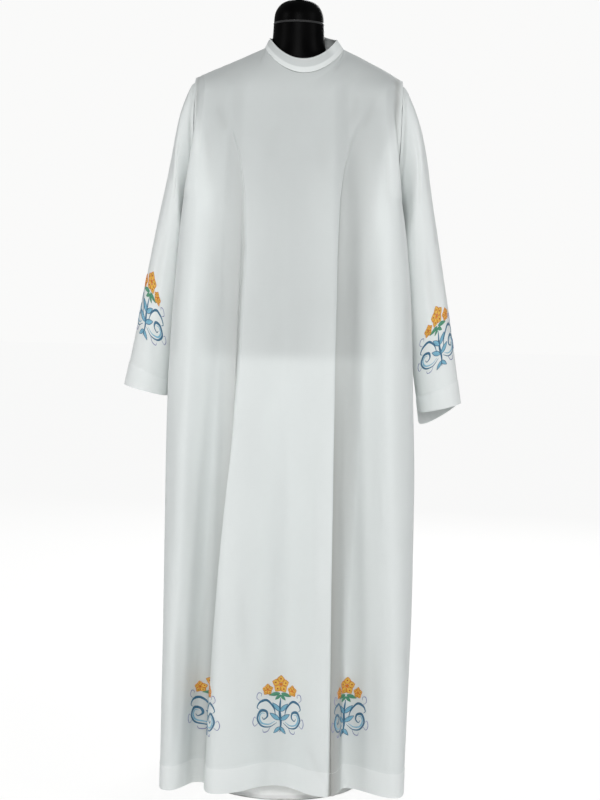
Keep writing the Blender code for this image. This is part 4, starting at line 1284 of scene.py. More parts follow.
def row_of_stitches(name, paths, **sizes):
    """Stitches along paths, each a pair of points and surface normals, as one plain mesh."""
    points, normals, edges = [], [], []
    for path, facing in paths:
        start = len(points)
        points += [tuple(p) for p in path]
        normals += [tuple(n) for n in facing]
        edges += [(i, i + 1) for i in range(start, len(points) - 1)]
    mesh = bpy.data.meshes.new(name + "_path")
    mesh.from_pydata(points, edges, [])
    stored = mesh.attributes.new("surface_normal", "FLOAT_VECTOR", "POINT")
    stored.data.foreach_set("vector", np.ravel(normals))
    carrier = linked(name + "_path", mesh)
    modifier = carrier.modifiers.new("stitches", "NODES")
    modifier.node_group = bpy.data.node_groups.get("Row of Stitches") or stitch_tree()
    for label, value in {"Finish": finish("sewing_thread"), **sizes}.items():
        set_input(modifier, label, value)
    stitched = with_modifiers(carrier)
    bpy.data.objects.remove(carrier)
    if not stitched.polygons:
        raise RuntimeError(name + " made no stitches")
    stitched.name = name
    return linked(name, stitched)


# ------------------------
# The robe's cloths, each made once and then dressed by the operators
made_cloths = {}
# Waves of a panel and of a sleeve: width, height and amount. The first of each grows downwards.
PANEL_WAVES = ((0.052, 0.42, 0.0016), (0.021, 0.16, 0.00055), (0.009, 0.05, 0.00012))
SLEEVE_WAVES = ((0.038, 0.20, 0.0012), (0.015, 0.09, 0.00045))
SHADE_FAN_PANEL = 0.06  # how far the view through the cloth spreads before it reaches the form
SHADE_FAN_SLEEVE = 0.10
# The collar's soft ridges (above 0) and grooves: lift, place up its height and reach, as shares
COLLAR_RIDGES = ((0.0005, 0.10, 0.09), (-0.0004, 0.20, 0.035), (-0.0003, 0.86, 0.04))


def band_rows(cloth):
    """Turns the lowest rows up into a second layer."""
    cloth.double[:FINE_BAND + 1] = 1.0
    cloth.rise[:FINE_BAND + 1] += HEM_STEP
    cloth.rise[FINE_BAND] -= 0.25 * HEM_STEP


def press_creases(cloth, rows):
    for facing, x0, z0, x1, z1, *press in rows:
        cloth.crease(cloth.place(x0, z0, facing), cloth.place(x1, z1, facing), *press)


def hang(cloth, waves, seed, strength):
    """Uneven waves from broad to fine, of which the broadest has the given strength."""
    for number, (width, height, amount) in enumerate(waves):
        cloth.sway(width, height, amount, seed + number, 1.0 if number else strength)


def panel_cloth(folds, facing, creases, seed):
    grid = panel_grid(folds, facing)
    middle = grid.shape[1] // 2
    for pleat in PLEATS[facing]:
        grid = Cloth(grid, middle=middle).gather(pleat.rows, facing)
    cloth = Cloth(grid, middle=middle)
    press_creases(cloth, [(facing, *row) for row in creases])
    for pleat in PLEATS[facing]:
        cloth.pleat(pleat, facing)
    low = 1 - cloth.h / cloth.h.max()
    hang(cloth, PANEL_WAVES, seed, 0.35 + 0.65 * smooth(0.0, 0.30, low))
    first, last = cloth.s - cloth.s[:, :1], cloth.s[:, -1:] - cloth.s
    height = grid[..., 2]
    armhole = smooth(UNDERARM_Z + 0.02, UNDERARM_Z + 0.08, height)
    sunk = 1 - 0.8 * smooth(1.345, 1.395, height)  # the grooves sink less at the shoulder's tip, but keep their full painted shade
    for distance, (depth, offset, reach) in zip((first, last), ARMHOLE_GROOVES[facing]):
        cloth.groove(distance, depth * armhole, offset, reach, sunk)
    cloth.sink_edge(np.minimum(first, last), seed + 3)
    cloth.sink_edge(cloth.h[-1:] - cloth.h, seed + 4, depth=0.0003, pucker=0.0003)
    band_rows(cloth)
    return cloth.shape()


def sleeve_cloth(side, seed):
    cloth = Cloth(sleeve_grid(side), closed=True, middle=ARMHOLE_FINE)
    below = cloth.h[-1:] - cloth.h
    # The sleeve below its cap gets 0.6 of the turned-up layers' lighter colour: partly for its own
    # back wall lying behind its front, partly painted light that brightens the whole sleeve against
    # its shade beside the body
    cloth.double[:] = 0.6 * smooth(0.0, 0.10, below)
    press_creases(cloth, SLEEVE_CREASES[side])
    hang(cloth, SLEEVE_WAVES, seed, smooth(0.02, 0.20, below))
    seam = np.minimum(cloth.s - cloth.s[:, :1], cloth.s[:, -1:] - cloth.s)
    cloth.sink_edge(seam, seed + 3, pucker=0.0003)
    # A groove with painted shade just below the armhole seam
    cloth.groove(below, 0.0022, 0.007, 0.005)
    top = smooth(1.370, 1.415, cloth.grid[..., 2])  # the sleeve's top sinks in behind the shoulder
    cloth.sink_edge(below, seed + 4, 0.0007 + 0.0034 * top, 0.004 + 0.008 * top, 0.0007)
    band_rows(cloth)
    return cloth.shape()


def collar_cloth(seed=61):
    """The stand-up band, whose lower part hides more because the seam allowance lies inside."""
    cloth = Cloth(collar_grid(), middle=COLLAR_SPANS * 3)
    share = cloth.h / cloth.h[-1:]
    cloth.double[:] = 0.22 + 0.74 * (1 - smooth(0.32, 0.44, share))
    for lift, place, reach in COLLAR_RIDGES:
        cloth.rise += lift * np.exp(-((share - place) / reach) ** 2)
    cloth.sway(0.011, 0.02, 0.00022, seed)
    return cloth.shape(1)


CLOTHS = {
    "front": lambda: panel_cloth(FRONT_FOLDS, -1, FRONT_CREASES, 11),
    "back": lambda: panel_cloth(BACK_FOLDS, 1, BACK_CREASES, 23),
    "sleeve_left": lambda: sleeve_cloth(1, 37),
    "sleeve_right": lambda: sleeve_cloth(-1, 47),
    "collar": collar_cloth,
}


def cloth_of(name):
    if name not in made_cloths:
        made_cloths[name] = CLOTHS[name]()
    return made_cloths[name]


def blurred(values, closed, rounds=2):
    """A grid of values softened with its neighbours."""
    for _ in range(rounds):
        padded = np.pad(values, ((1, 1), (0, 0)), "edge")
        values = values * 0.5 + (padded[:-2] + padded[2:]) * 0.25
        padded = np.pad(values, ((0, 0), (1, 1)), "wrap" if closed else "edge")
        values = values * 0.5 + (padded[:, :-2] + padded[:, 2:]) * 0.25
    return values


def cloth_piece(name, cloth, wall, spread, slit=None):
    """The cloth as a shell that also knows how much of the form is behind it."""
    piece, source = cloth.mesh(name, wall, slit)
    behind = form_behind(cloth.grid.reshape(-1, 3), cloth.normals.reshape(-1, 3), spread)
    behind = blurred(behind.reshape(cloth.grid.shape[:2]), cloth.closed)
    put_value(piece.data, "form_behind", behind.ravel()[source])
    return piece


def settle(piece, material, slot, *nodes):
    """Gives a piece its finish, and lets it stand for the nodes it dresses."""
    piece.data.materials.clear()
    piece.data.materials.append(material)
    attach(piece, BODY)
    if nodes:
        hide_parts(*nodes)
    return piece


def flat_cut(cloth):
    """((width, length), area) of a cloth laid flat, to the millimetre."""
    width = float((cloth.s[:, -1] - cloth.s[:, 0]).max())
    if cloth.closed:
        width += float(np.linalg.norm(cloth.grid[:, 0] - cloth.grid[:, -1], axis=1).max())
    length = float(cloth.h.max())
    ring = np.concatenate([cloth.grid, cloth.grid[:, :1]], axis=1) if cloth.closed else cloth.grid
    one, two = ring[1:, 1:] - ring[:-1, :-1], ring[1:, :-1] - ring[:-1, 1:]
    area = float(np.linalg.norm(np.cross(one, two), axis=2).sum() / 2)
    return (round(width, 3), round(length, 3)), round(min(area, width * length), 3)


def dress(name, node, wall, spread, slit=None):
    """The piece of cloth that dresses a node."""
    piece = cloth_piece(name, cloth_of(node), wall, spread, slit)
    return settle(piece, finish("white_polyester"), "white_cloth", node)


def state_sheet(piece, node, rests_on, **more):
    """Works out the flat size and area of the cloth that dresses a node; nothing is done with them.
    """
    flat, area = flat_cut(cloth_of(node))


def button_place():
    """Where the button lies on the collar's lap at the centre back."""
    lean = math.atan2(COLLAR_TOP.back - NECK.back, COLLAR_TOP.side_z - NECK.side_z)
    back = math.pi / 2
    centre = (ring_point(NECK, back) + ring_point(COLLAR_TOP, back)) / 2
    centre = centre + (BUTTON_ASIDE, COLLAR_LAP + BUTTON_RISE, BUTTON_UP)
    return Matrix.Translation(centre) @ Matrix.Rotation(-math.pi / 2 - lean, 4, "X")


# ------------------------
# Sizes and colours a user would change
def colour_choice(name, description, default):
    return FloatVectorProperty(name=name, description=description, default=default,
                               subtype="COLOR", min=0, max=1)


def length_choice(name, description, default, low, high, precision=4):
    return FloatProperty(name=name, description=description, default=default, min=low, max=high,
                         precision=precision, unit="LENGTH")


def watts_choice(name, description, default):
    return FloatProperty(name=name, description=description, default=default, min=0, unit="POWER")


class AlbClothChoices(bpy.types.PropertyGroup):
    wall: length_choice("Cloth Thickness", "Thickness of one layer of the robe's cloth",
                        0.0006, 0.0002, 0.002)
    collar_wall: length_choice("Collar Thickness", "Thickness of the doubled collar band",
                               0.0016, 0.0005, 0.002)
    thread_pitch: length_choice("Thread Pitch", "Distance between threads of the weave",
                                0.0006, 0.0001, 0.005)
    single_layer: colour_choice("Single Layer", "Colour of one layer of cloth",
                                (0.765, 0.800, 0.790))
    double_layer: colour_choice("Double Layer", "Colour where hems and cuffs are turned up",
                                (0.830, 0.860, 0.850))
    through_tint: colour_choice("Shade Behind", "Colour that the form gives the cloth before it",
                                (0.05, 0.06, 0.06))
    show_through: FloatProperty(
        name="Show Through", description="How much of the form's shade comes through one layer",
        default=0.29, min=0, max=1, subtype="FACTOR",
    )
    # Colour of the painted shade at the bottom of the deepest fold
    fold_shade: colour_choice("Fold Shade", "Colour of the cloth at the bottom of the deepest fold",
                              (0.335, 0.335, 0.318))


class AlbEmbroideryChoices(bpy.types.PropertyGroup):
    width: length_choice("Motif Width", "Width of one embroidered motif", 0.105, 0.03, 0.2, 2)
    blue: colour_choice("Blue", "Thread of the scrolls' outlines", (0.050, 0.18, 0.30))
    pale_blue: colour_choice("Pale Blue", "Thread that fills the scrolls", (0.25, 0.55, 0.72))
    lilac: colour_choice("Lilac", "Thread of the thin tendrils", (0.25, 0.27, 0.48))
    gold: colour_choice("Gold", "Thread of the flower's petals", (0.90, 0.55, 0.09))
    orange: colour_choice("Orange", "Thread of the flower's outline", (0.78, 0.24, 0.02))
    red: colour_choice("Red", "Thread of the flower's dots", (0.52, 0.03, 0.02))
    green: colour_choice("Green", "Thread of the sepals", (0.10, 0.36, 0.22))


class AlbStageChoices(bpy.types.PropertyGroup):
    key_watts: watts_choice("Key Light", "Power of the large soft light at the front left", 39.0)
    fill_watts: watts_choice("Fill Light", "Power of the soft light at the front right", 39.0)
    front_watts: watts_choice("Front Light", "Power of the soft light above the camera", 89.0)
    behind_watts: watts_choice("Back Light", "Power of the soft light behind the robe", 96.0)
    inside_watts: watts_choice("Light Inside", "Power of the small light in the skirt", 1.0)
    surround: FloatProperty(
        name="Surround", description="Light from the pale surroundings", default=0.28, min=0,
    )
    focal_length: FloatProperty(
        name="Focal Length", description="Focal length of the camera in millimetres",
        default=77.57, min=10,
    )


# ------------------------
# Operators, one for each piece or group of like pieces
class ALB_OT_stage(bpy.types.Operator):
    """Set up the camera, the soft lights and the pale floor"""

    bl_idname = "alb.stage"
    bl_label = "Stage"

    # Lights: where they stand, what they point at, and their size across
    LIGHTS = {
        "key": ((-3.7, -1.7, 2.8), (0.0, 0.0, 0.95), 1.3),
        "fill": ((3.7, -1.7, 2.8), (0.0, 0.0, 0.95), 1.3),
        "front": ((-0.2, -4.4, 2.5), (0.0, 0.0, 0.95), 1.6),
        "behind": ((0.6, 3.6, 2.4), (0.0, 0.0, 0.9), 2.4),
        # This one stands for what comes through the cloth, down onto the base
        "inside": ((0.0, -0.085, 0.55), (0.0, -0.085, 0.0), 0.09),
    }
    CAMERA_PLACE = (0.020, -3.5, 0.988)
    PITCH, ROLL = math.radians(86.6), math.radians(1.36)
    FLOOR_REACH = 30

    def execute(self, context):
        looks, scene = context.scene.alb_stage, context.scene
        data = bpy.data.cameras.new("camera")
        data.lens = looks.focal_length
        data.sensor_width = 36.0
        data.sensor_fit = "AUTO"
        camera = linked("camera", data)
        pitch, roll = Matrix.Rotation(self.PITCH, 4, "X"), Matrix.Rotation(self.ROLL, 4, "Z")
        camera.matrix_world = Matrix.Translation(self.CAMERA_PLACE) @ (pitch @ roll)
        scene.camera = camera
        for name, (place, target, size) in self.LIGHTS.items():
            data = bpy.data.lights.new(name, "AREA")
            data.shape, data.size, data.energy = "DISK", size, getattr(looks, name + "_watts")
            light = linked(name, data)
            light.location = place
            aim = Vector(target) - Vector(place)
            light.rotation_euler = aim.to_track_quat("-Z", "Y").to_euler()
        scene.world = self.surroundings(looks.surround)
        scene.view_settings.view_transform = "Standard"
        scene.view_settings.look = "None"
        corners = [(x * self.FLOOR_REACH, y * self.FLOOR_REACH, 0.0)
                   for x, y in ((-1, -1), (1, -1), (1, 1), (-1, 1))]
        floor = new_piece("floor", corners, [(0, 1, 2, 3)])
        floor.data.materials.append(finish("pale_floor"))
        return {"FINISHED"}

    def surroundings(self, strength):
        """A pale world that lights the robe softly, and that is seen white behind it."""
        world = bpy.data.worlds.new("pale surroundings")
        world.use_nodes = True
        build = Tree(world.node_tree)
        ground = world.node_tree.nodes["Background"]
        build.feed(ground, "Color", (0.97, 0.985, 1.0, 1.0))
        build.feed(ground, "Strength", strength)
        seen = build.add("ShaderNodeBackground", Color=(0.955, 0.955, 0.95, 1.0), Strength=1.0)
        both = build.add("ShaderNodeMixShader", i0=build.seen(), i1=ground.outputs[0],
                         i2=seen.outputs[0])
        build.feed(world.node_tree.nodes["World Output"], "Surface", both.outputs[0])
        return world


class ALB_OT_front(bpy.types.Operator):
    """Make the front panel of the robe, with its folds, creases and turned-up hem"""

    bl_idname = "alb.front"
    bl_label = "Front Panel"

    def execute(self, context):
        piece = dress("robe_front", "front", context.scene.alb_cloth.wall, SHADE_FAN_PANEL)
        state_sheet(piece, "front", rests_on=["form_body"])
        return {"FINISHED"}


class ALB_OT_back(bpy.types.Operator):
    """Make the back panel of the robe, slit below the neck"""

    bl_idname = "alb.back"
    bl_label = "Back Panel"

    def execute(self, context):
        piece = dress("robe_back", "back", context.scene.alb_cloth.wall, SHADE_FAN_PANEL,
                      slit_foot(cloth_of("back")))
        state_sheet(piece, "back", rests_on=["form_body"])
        return {"FINISHED"}


class ALB_OT_sleeves(bpy.types.Operator):
    """Make the two long sleeves with their turned-up cuffs"""

    bl_idname = "alb.sleeves"
    bl_label = "Sleeves"

    def execute(self, context):
        for name in ("sleeve_left", "sleeve_right"):
            piece = dress("robe_" + name, name, context.scene.alb_cloth.wall, SHADE_FAN_SLEEVE)
            state_sheet(piece, name, rests_on=["robe_front", "robe_back"])
        return {"FINISHED"}


class ALB_OT_collar(bpy.types.Operator):
    """Make the stand-up collar band and the button that closes it at the back"""

    bl_idname = "alb.collar"
    bl_label = "Collar"

    HOLE_RADIUS = 0.0007

    def execute(self, context):
        wall = context.scene.alb_cloth.collar_wall
        piece = dress("collar_band", "collar", wall, SHADE_FAN_SLEEVE)
        button = settle(self.button(), finish("pearl_button"), "white_cloth", "collar_button")
        state_sheet(piece, "collar", rests_on=["robe_front", "robe_back"], with_pieces=[button])
        return {"FINISHED"}

    def button(self):
        """A dished button with a rounded rim and four holes, turned to lie on the collar."""
        button = turned("back_button", rounded(BUTTON, 3), 64)
        drill = ((0.0, -0.001), (self.HOLE_RADIUS, -0.001), (self.HOLE_RADIUS, 0.004), (0.0, 0.004))
        holes = []
        for x, y in ((1, 1), (1, -1), (-1, 1), (-1, -1)):
            hole = turned("hole", drill, 16)
            hole.data.transform(Matrix.Translation((HOLE_PLACE * x, HOLE_PLACE * y, 0.0)))
            cut = button.modifiers.new("hole", "BOOLEAN")
            cut.operation, cut.solver, cut.object = "DIFFERENCE", "EXACT", hole
            holes.append(hole)
        pierced = with_modifiers(button)
        button.modifiers.clear()
        button.data = pierced
        for hole in holes:
            bpy.data.objects.remove(hole)
        button.data.transform(button_place())
        return button


class ALB_OT_form(bpy.types.Operator):
    """Make the smooth black dress form with its neck cap, ring and knob"""

    bl_idname = "alb.form"
    bl_label = "Dress Form"

    def execute(self, context):
        black = finish("black_moulding")
        settle(form_torso("form_body"), black, "black_form", "torso")
        settle(turned("form_cap", rounded(CAP)), black, "black_form", "neck_cap")
        ring = turned("form_ring", rounded(RING))
        settle(ring, finish("black_paint"), "black_metal", "neck_ring")
        settle(turned("form_knob", rounded(FINIAL), 48), black, "black_form", "finial")
        return {"FINISHED"}


class ALB_OT_stand(bpy.types.Operator):
    """Make the pole, its socket under the form, the hub and the round base"""

    bl_idname = "alb.stand"
    bl_label = "Stand"

    def execute(self, context):
        for node, profile, shade in (("socket", SOCKET, "black"), ("pole", POLE, "black"),
                                     ("hub", HUB, "white"), ("base", BASE, "white")):
            settle(turned("stand_" + node, rounded(profile)), finish(shade + "_paint"),
                   shade + "_metal", node)
        return {"FINISHED"}


# ------------------------
# Sewing
def seam_path(cloth, height, inset=0.004, step=0.004):
    """Points and normals along a cloth at one height over its lower edge."""
    row = int(np.argmin(np.abs(cloth.h.mean(axis=1) - height)))
    first, last = cloth.s[row, 0] + inset, cloth.s[row, -1] - inset
    along = np.linspace(first, last, int((last - first) / step))
    return cloth.at(along, np.full(len(along), height), np.full(len(along), SEWING_RISE))


def slit_foot(cloth):
    """Column and row of the back where its slit ends, below the neck at the centre."""
    return sum(panel_layout(BACK_FOLDS)[0][:5]), cloth.rows - 1 - SLIT_ROWS * FINE_UPPER


def slit_paths(cloth, aside=0.0035):
    """Points and normals on both sides of the slit."""
    column, foot = slit_foot(cloth)
    rows = np.arange(foot, cloth.rows - 2)
    heights, lift = cloth.h.mean(axis=1)[rows], np.full(len(rows), SEWING_RISE)
    return [cloth.at(cloth.s[rows, column] + flank, heights, lift) for flank in (-aside, aside)]


def thread_bar(start, end, side, lift, radius, rings=9, sides=8):
    """Points and faces of a bent round thread between two places."""
    points = []
    for angle in np.linspace(0, math.pi, rings):
        middle = start + (end - start) * (1 - math.cos(angle)) / 2 + lift * math.sin(angle)
        forward = unit((end - start) * math.sin(angle) / 2 + lift * math.cos(angle))
        over = np.cross(forward, side)
        points += [tuple(middle + radius * (side * math.cos(a) + over * math.sin(a)))
                   for a in np.arange(sides) * 2 * math.pi / sides]
    caps = [tuple(reversed(range(sides))), tuple(range((rings - 1) * sides, rings * sides))]
    return points, ring_quads(rings, sides) + caps


class ALB_OT_stitches(bpy.types.Operator):
    """Sew the hems, cuffs, collar, slit and button"""

    bl_idname = "alb.stitches"
    bl_label = "Stitches"

    SEAM_INSET = 0.0025  # below the upper edge of what is turned up
    THREAD_HEIGHT = 0.0010  # where a thread leaves the button's holes
    THREAD_RADIUS = 0.00025
    THREAD_ARCH, THREAD_CROSSING = 0.0009, 0.0005  # the second thread bends over the first

    def execute(self, context):
        hem, cuff = HEM_BAND - self.SEAM_INSET, CUFF_BAND - self.SEAM_INSET
        collar = cloth_of("collar")
        full = float(collar.h[-1].mean())
        rows = {
            "stitches_hem_front": [seam_path(cloth_of("front"), hem)],
            "stitches_hem_back": [seam_path(cloth_of("back"), hem)],
            "stitches_cuff_left": [seam_path(cloth_of("sleeve_left"), cuff)],
            "stitches_cuff_right": [seam_path(cloth_of("sleeve_right"), cuff)],
            "stitches_collar": [seam_path(collar, full * share, 0.006) for share in (0.10, 0.90)],
            "stitches_slit": slit_paths(cloth_of("back")),
        }
        sewing = finish("sewing_thread")
        for name, paths in rows.items():
            settle(row_of_stitches(name, paths, Seed=len(name)), sewing, "white_cloth")
        settle(self.button_thread(), sewing, "white_cloth")
        return {"FINISHED"}

    def button_thread(self):
        """Two threads that cross between the button's four holes."""
        points, faces = [], []
        for number, flank in enumerate((1, -1)):
            end = np.array((HOLE_PLACE, HOLE_PLACE * flank, self.THREAD_HEIGHT))
            start = end * (-1, -1, 1)
            side = unit(np.array((-flank, 1.0, 0.0)))
            lift = np.array((0.0, 0.0, self.THREAD_ARCH + self.THREAD_CROSSING * number))
            bar, rings = thread_bar(start, end, side, lift, self.THREAD_RADIUS)
            faces += [tuple(i + len(points) for i in face) for face in rings]
            points += bar
        piece = new_piece("button_thread", points, faces)
        piece.data.transform(button_place())
        return piece


# ------------------------
# Embroidery: a flower over scrolls, drawn as strokes on the cloth
# A motif is drawn on a square from -1 to 1 across and 0 to 2 up. A stroke row is its thread, its
# width at the start, middle and end in hundredths, and the points it runs through.
SCROLL_STROKES = (
    ("blue", (4, 12, 4), ((-0.10, 0.42), (-0.34, 0.26), (-0.62, 0.33), (-0.79, 0.62), (-0.67, 0.89),
                          (-0.46, 0.85), (-0.42, 0.66), (-0.54, 0.56), (-0.61, 0.66))),
    ("blue", (4, 11, 3), ((-0.14, 0.64), (-0.22, 0.98), (-0.44, 1.26), (-0.70, 1.22), (-0.81, 1.05),
                          (-0.72, 0.95))),
    ("pale_blue", (3, 8, 3), ((-0.16, 0.47), (-0.36, 0.36), (-0.61, 0.43), (-0.71, 0.64),
                              (-0.63, 0.80), (-0.50, 0.77))),
    ("lilac", (2, 4, 2), ((-0.74, 0.47), (-0.90, 0.36), (-0.98, 0.52), (-0.92, 0.70),
                          (-0.84, 0.63))),
    ("lilac", (2, 4, 2), ((-0.68, 1.25), (-0.83, 1.40), (-0.78, 1.57), (-0.65, 1.54),
                          (-0.66, 1.43))),
    ("lilac", (2, 4, 2), ((-0.30, 0.28), (-0.40, 0.10), (-0.54, 0.08), (-0.58, 0.19))),
)
STEM_STROKES = (
    ("blue", (5, 11, 7), ((0.0, 0.06), (0.03, 0.42), (-0.02, 0.84), (0.0, 1.34))),
    ("pale_blue", (2, 5, 2), ((0.0, 0.14), (0.03, 0.44), (-0.02, 0.84), (0.0, 1.24))),
)
# Leaves: thread, outline's thread, root, tip and widest half width
LEAVES = (
    ("pale_blue", "blue", (-0.02, 0.52), (-0.34, 0.78), 0.080),
    ("pale_blue", "blue", (0.0, 0.84), (-0.26, 1.16), 0.075),
    ("pale_blue", "blue", (0.0, 0.26), (-0.20, 0.02), 0.062),
    ("green", "green", (-0.02, 1.52), (-0.38, 1.45), 0.062),
    ("green", "green", (0.0, 1.46), (-0.17, 1.28), 0.052),
)
MOTIF_STRETCH = 1.16  # a motif is drawn this much broader than its square
FLOWERS = ((0.0, 1.86, 0.90), (-0.50, 1.66, 0.58), (0.50, 1.66, 0.58))  # centre, and size
# Parts of a flower of size 1
PETALS = 5
PETAL_ROOT, PETAL_REACH, PETAL_WIDTH = 0.07, 0.37, 0.150
SEED_PLACE, SEED_RADIUS = 0.23, 0.038
HEART_RADIUS = 0.075

THREAD_RISE = 0.0007  # how far the satin stitches stand up at a stroke's middle
OUTLINE_WIDTH, OUTLINE_RISE = 0.022, 1.5  # the rise as a multiple of a stroke's
DOT_RISE = 1.9
# A strip's cross section: place across as a share of its half width, and lift
LANES = ((-1.0, -0.25), (-0.72, 0.62), (0.0, 1.0), (0.72, 0.62), (1.0, -0.25))
END_SLOPE, END_LIFT = 0.0006, 0.3  # a strip rises over this length from this share of its height


def spline(points, steps=8):
    """Points on a smooth line through the given ones."""
    points = np.array(points, float)
    padded = np.concatenate([2 * points[:1] - points[1:2], points, 2 * points[-1:] - points[-2:-1]])
    tangents = (padded[2:] - padded[:-2]) / 2
    t = (np.arange(steps) / steps)[:, None]
    spans = [hermite(a, ta, b, tb, t)
             for a, b, ta, tb in zip(points, points[1:], tangents, tangents[1:])]
    return np.concatenate(spans + [points[-1:]])


def stroke_widths(values, shares):
    """Widths along a stroke from those at its start, middle and end, narrow at its very ends."""
    start, middle, end = values
    widths = (0.35 * start, start, middle, end, 0.35 * end)
    return np.interp(shares, (0.0, 0.12, 0.5, 0.88, 1.0), widths)


def leaf_form(shares):
    """Half width along a leaf as a share of its widest."""
    return np.sin(np.pi * shares**0.8)


class Needlework:
    """Collects the strokes of one thread on one cloth, as domed strips closed underneath."""

    def __init__(self, cloth, origin, size):
        self.cloth, self.origin, self.size = cloth, origin, size
        self.points, self.faces, self.places = [], [], []

    def strip(self, line, half_widths, rise=1.0):
        """A domed strip along a line on the motif's square."""
        line, half_widths = line * self.size + self.origin, half_widths * self.size
        heading = units(np.gradient(line, axis=0))
        aside = np.column_stack([-heading[:, 1], heading[:, 0]])
        steps = np.linalg.norm(np.diff(line, axis=0), axis=1)
        run = np.concatenate([[0.0], np.cumsum(steps)])
        ends = np.minimum(1.0, np.minimum(run, run[-1] - run) / END_SLOPE + END_LIFT)
        start, count = len(self.points), len(line)
        for across, lift in LANES:
            place = line + aside * (across * half_widths)[:, None]
            points, _ = self.cloth.at(place[:, 0], place[:, 1], lift * (THREAD_RISE * rise) * ends)
            self.points += [tuple(p) for p in points]
            self.places += [(r, across * w) for r, w in zip(run, half_widths)]
        lanes = [start + lane * count for lane in range(len(LANES))]
        for a, b in zip(lanes, lanes[1:]):
            self.faces += [(a + i, b + i, b + i + 1, a + i + 1) for i in range(count - 1)]
        first, last = lanes[0], lanes[-1]
        self.faces += [(first + i, first + i + 1, last + i + 1, last + i) for i in range(count - 1)]
        self.faces.append(tuple(lanes))
        self.faces.append(tuple(lane + count - 1 for lane in reversed(lanes)))

    def draw(self, points, widths):
        line = spline(points)
        shares = np.linspace(0, 1, len(line))
        self.strip(line, stroke_widths(np.array(widths) / 200, shares))

    def leaf(self, root, tip, half_width, steps=12):
        half_widths = np.maximum(leaf_form(np.linspace(0, 1, steps + 1)), 0.06) * half_width
        self.strip(np.linspace(root, tip, steps + 1), half_widths)

    def outline(self, root, tip, half_width, steps=12):
        root, tip = np.array(root), np.array(tip)
        heading = unit(tip - root)
        aside = np.array((-heading[1], heading[0]))
        shares = np.linspace(0, 1, steps + 1)[:, None]
        for flank in (1, -1):
            edge = root + (tip - root) * shares + aside * flank * half_width * leaf_form(shares)
            self.strip(edge, np.full(steps + 1, OUTLINE_WIDTH / 2), OUTLINE_RISE)

    def dot(self, centre, radius, steps=9):
        shares = np.linspace(-0.96, 0.96, steps)
        line = np.array(centre) + np.column_stack([shares, np.zeros(steps)]) * radius
        self.strip(line, np.sqrt(1 - shares**2) * radius, DOT_RISE)

    def piece(self, name):
        piece = new_piece(name, np.array(self.points), self.faces)
        put_uv(piece.data, np.array(self.places))
        return piece


def flower(work, colour, centre, size):
    """Draws what a flower has of one thread colour."""
    for petal in range(PETALS):
        turn = math.pi / 2 + 2 * math.pi * petal / PETALS
        heading = np.array((math.cos(turn), math.sin(turn)))
        root, tip = centre + heading * PETAL_ROOT * size, centre + heading * PETAL_REACH * size
        if colour == "gold":
            work.leaf(root, tip, PETAL_WIDTH * size)
        elif colour == "orange":
            work.outline(root, tip, PETAL_WIDTH * size)
        elif colour == "red":
            work.dot(centre + heading * SEED_PLACE * size, SEED_RADIUS * size)
    if colour == "orange":
        work.dot(centre, HEART_RADIUS * size)


def motif_threads(work, colour):
    """Draws everything of one thread colour. The left half is mirrored to the right."""
    for flip in (1, -1):
        def mirror(points, flip=flip):
            return [(flip * x * MOTIF_STRETCH, y) for x, y in points]
        for thread, widths, points in SCROLL_STROKES:
            if thread == colour:
                work.draw(mirror(points), widths)
        for thread, edge, root, tip, half_width in LEAVES:
            if thread == colour:
                work.leaf(*mirror((root, tip)), half_width)
            if edge == colour:
                work.outline(*mirror((root, tip)), half_width)
    for thread, widths, points in STEM_STROKES:
        if thread == colour:
            work.draw(points, widths)
    for x, y, size in FLOWERS:
        flower(work, colour, np.array((x, y)), size)


MOTIF_THREADS = ("pale_blue", "blue", "lilac", "green", "gold", "orange", "red")
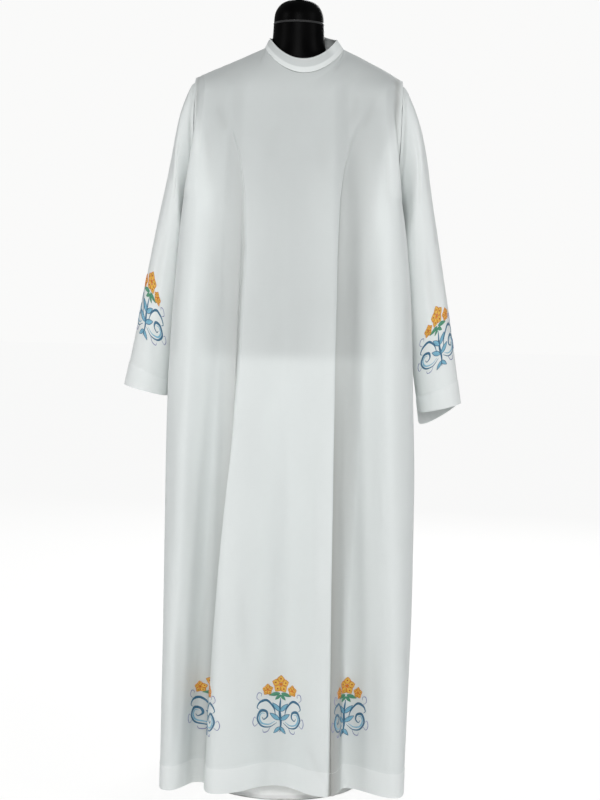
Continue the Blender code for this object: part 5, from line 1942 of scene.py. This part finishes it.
# Motifs: cloth, place across from its middle line, and height of the lower end over its lower edge
MOTIF_STEP, MOTIF_HEIGHT = 0.194, 0.102
FRONT_MIDDLE, BACK_MIDDLE = 0.0077, 0.0042
MOTIFS = {
    "embroidery_front_middle": ("front", FRONT_MIDDLE, MOTIF_HEIGHT),
    "embroidery_front_right": ("front", FRONT_MIDDLE - MOTIF_STEP, MOTIF_HEIGHT),
    "embroidery_front_left": ("front", FRONT_MIDDLE + MOTIF_STEP, MOTIF_HEIGHT),
    "embroidery_back_middle": ("back", BACK_MIDDLE, MOTIF_HEIGHT),
    "embroidery_back_right": ("back", BACK_MIDDLE + MOTIF_STEP, MOTIF_HEIGHT),
    "embroidery_back_left": ("back", BACK_MIDDLE - MOTIF_STEP, MOTIF_HEIGHT),
    "embroidery_sleeve_left": ("sleeve_left", -0.090, 0.087),
    "embroidery_sleeve_right": ("sleeve_right", 0.078, 0.095),
}


class ALB_OT_embroidery(bpy.types.Operator):
    """Embroider a flower over scrolls around the hem and above both cuffs"""

    bl_idname = "alb.embroidery"
    bl_label = "Embroidery"

    def execute(self, context):
        looks = context.scene.alb_embroidery
        threads = {thread: thread_finish("thread_" + thread, getattr(looks, thread))
                   for thread in MOTIF_THREADS}
        for name, (cloth, across, up) in MOTIFS.items():
            for thread, material in threads.items():
                work = Needlework(cloth_of(cloth), np.array((across, up)), looks.width / 2)
                motif_threads(work, thread)
                settle(work.piece(name + "_" + thread), material, "white_cloth")
        return {"FINISHED"}


class ALB_PT_panel(bpy.types.Panel):
    """Lists the steps that build the robe on its form, and what they can be given"""

    bl_idname = "ALB_PT_panel"
    bl_label = "Alb"
    bl_space_type = "VIEW_3D"
    bl_region_type = "UI"
    bl_category = "Alb"

    def draw(self, context):
        for name in CHOICES:
            choices = getattr(context.scene, name)
            box = self.layout.box()
            for key in choices.bl_rna.properties.keys():
                if key not in ("rna_type", "name"):
                    box.prop(choices, key)
        for operator in STEPS:
            self.layout.operator(operator.bl_idname)


STEPS = (ALB_OT_stage, ALB_OT_form, ALB_OT_stand, ALB_OT_front, ALB_OT_back, ALB_OT_sleeves,
         ALB_OT_collar, ALB_OT_stitches, ALB_OT_embroidery)
CHOICES = {"alb_cloth": AlbClothChoices, "alb_embroidery": AlbEmbroideryChoices,
           "alb_stage": AlbStageChoices}


def register():
    for name, choices in CHOICES.items():
        bpy.utils.register_class(choices)
        setattr(bpy.types.Scene, name, PointerProperty(type=choices))
    for cls in (*STEPS, ALB_PT_panel):
        bpy.utils.register_class(cls)


def unregister():
    for cls in reversed((*STEPS, ALB_PT_panel)):
        bpy.utils.unregister_class(cls)
    for name, choices in CHOICES.items():
        delattr(bpy.types.Scene, name)
        bpy.utils.unregister_class(choices)


def main():
    register()
    for step in STEPS:
        group_name, operator = step.bl_idname.split(".")
        getattr(getattr(bpy.ops, group_name), operator)()


if __name__ == "__main__":
    main()
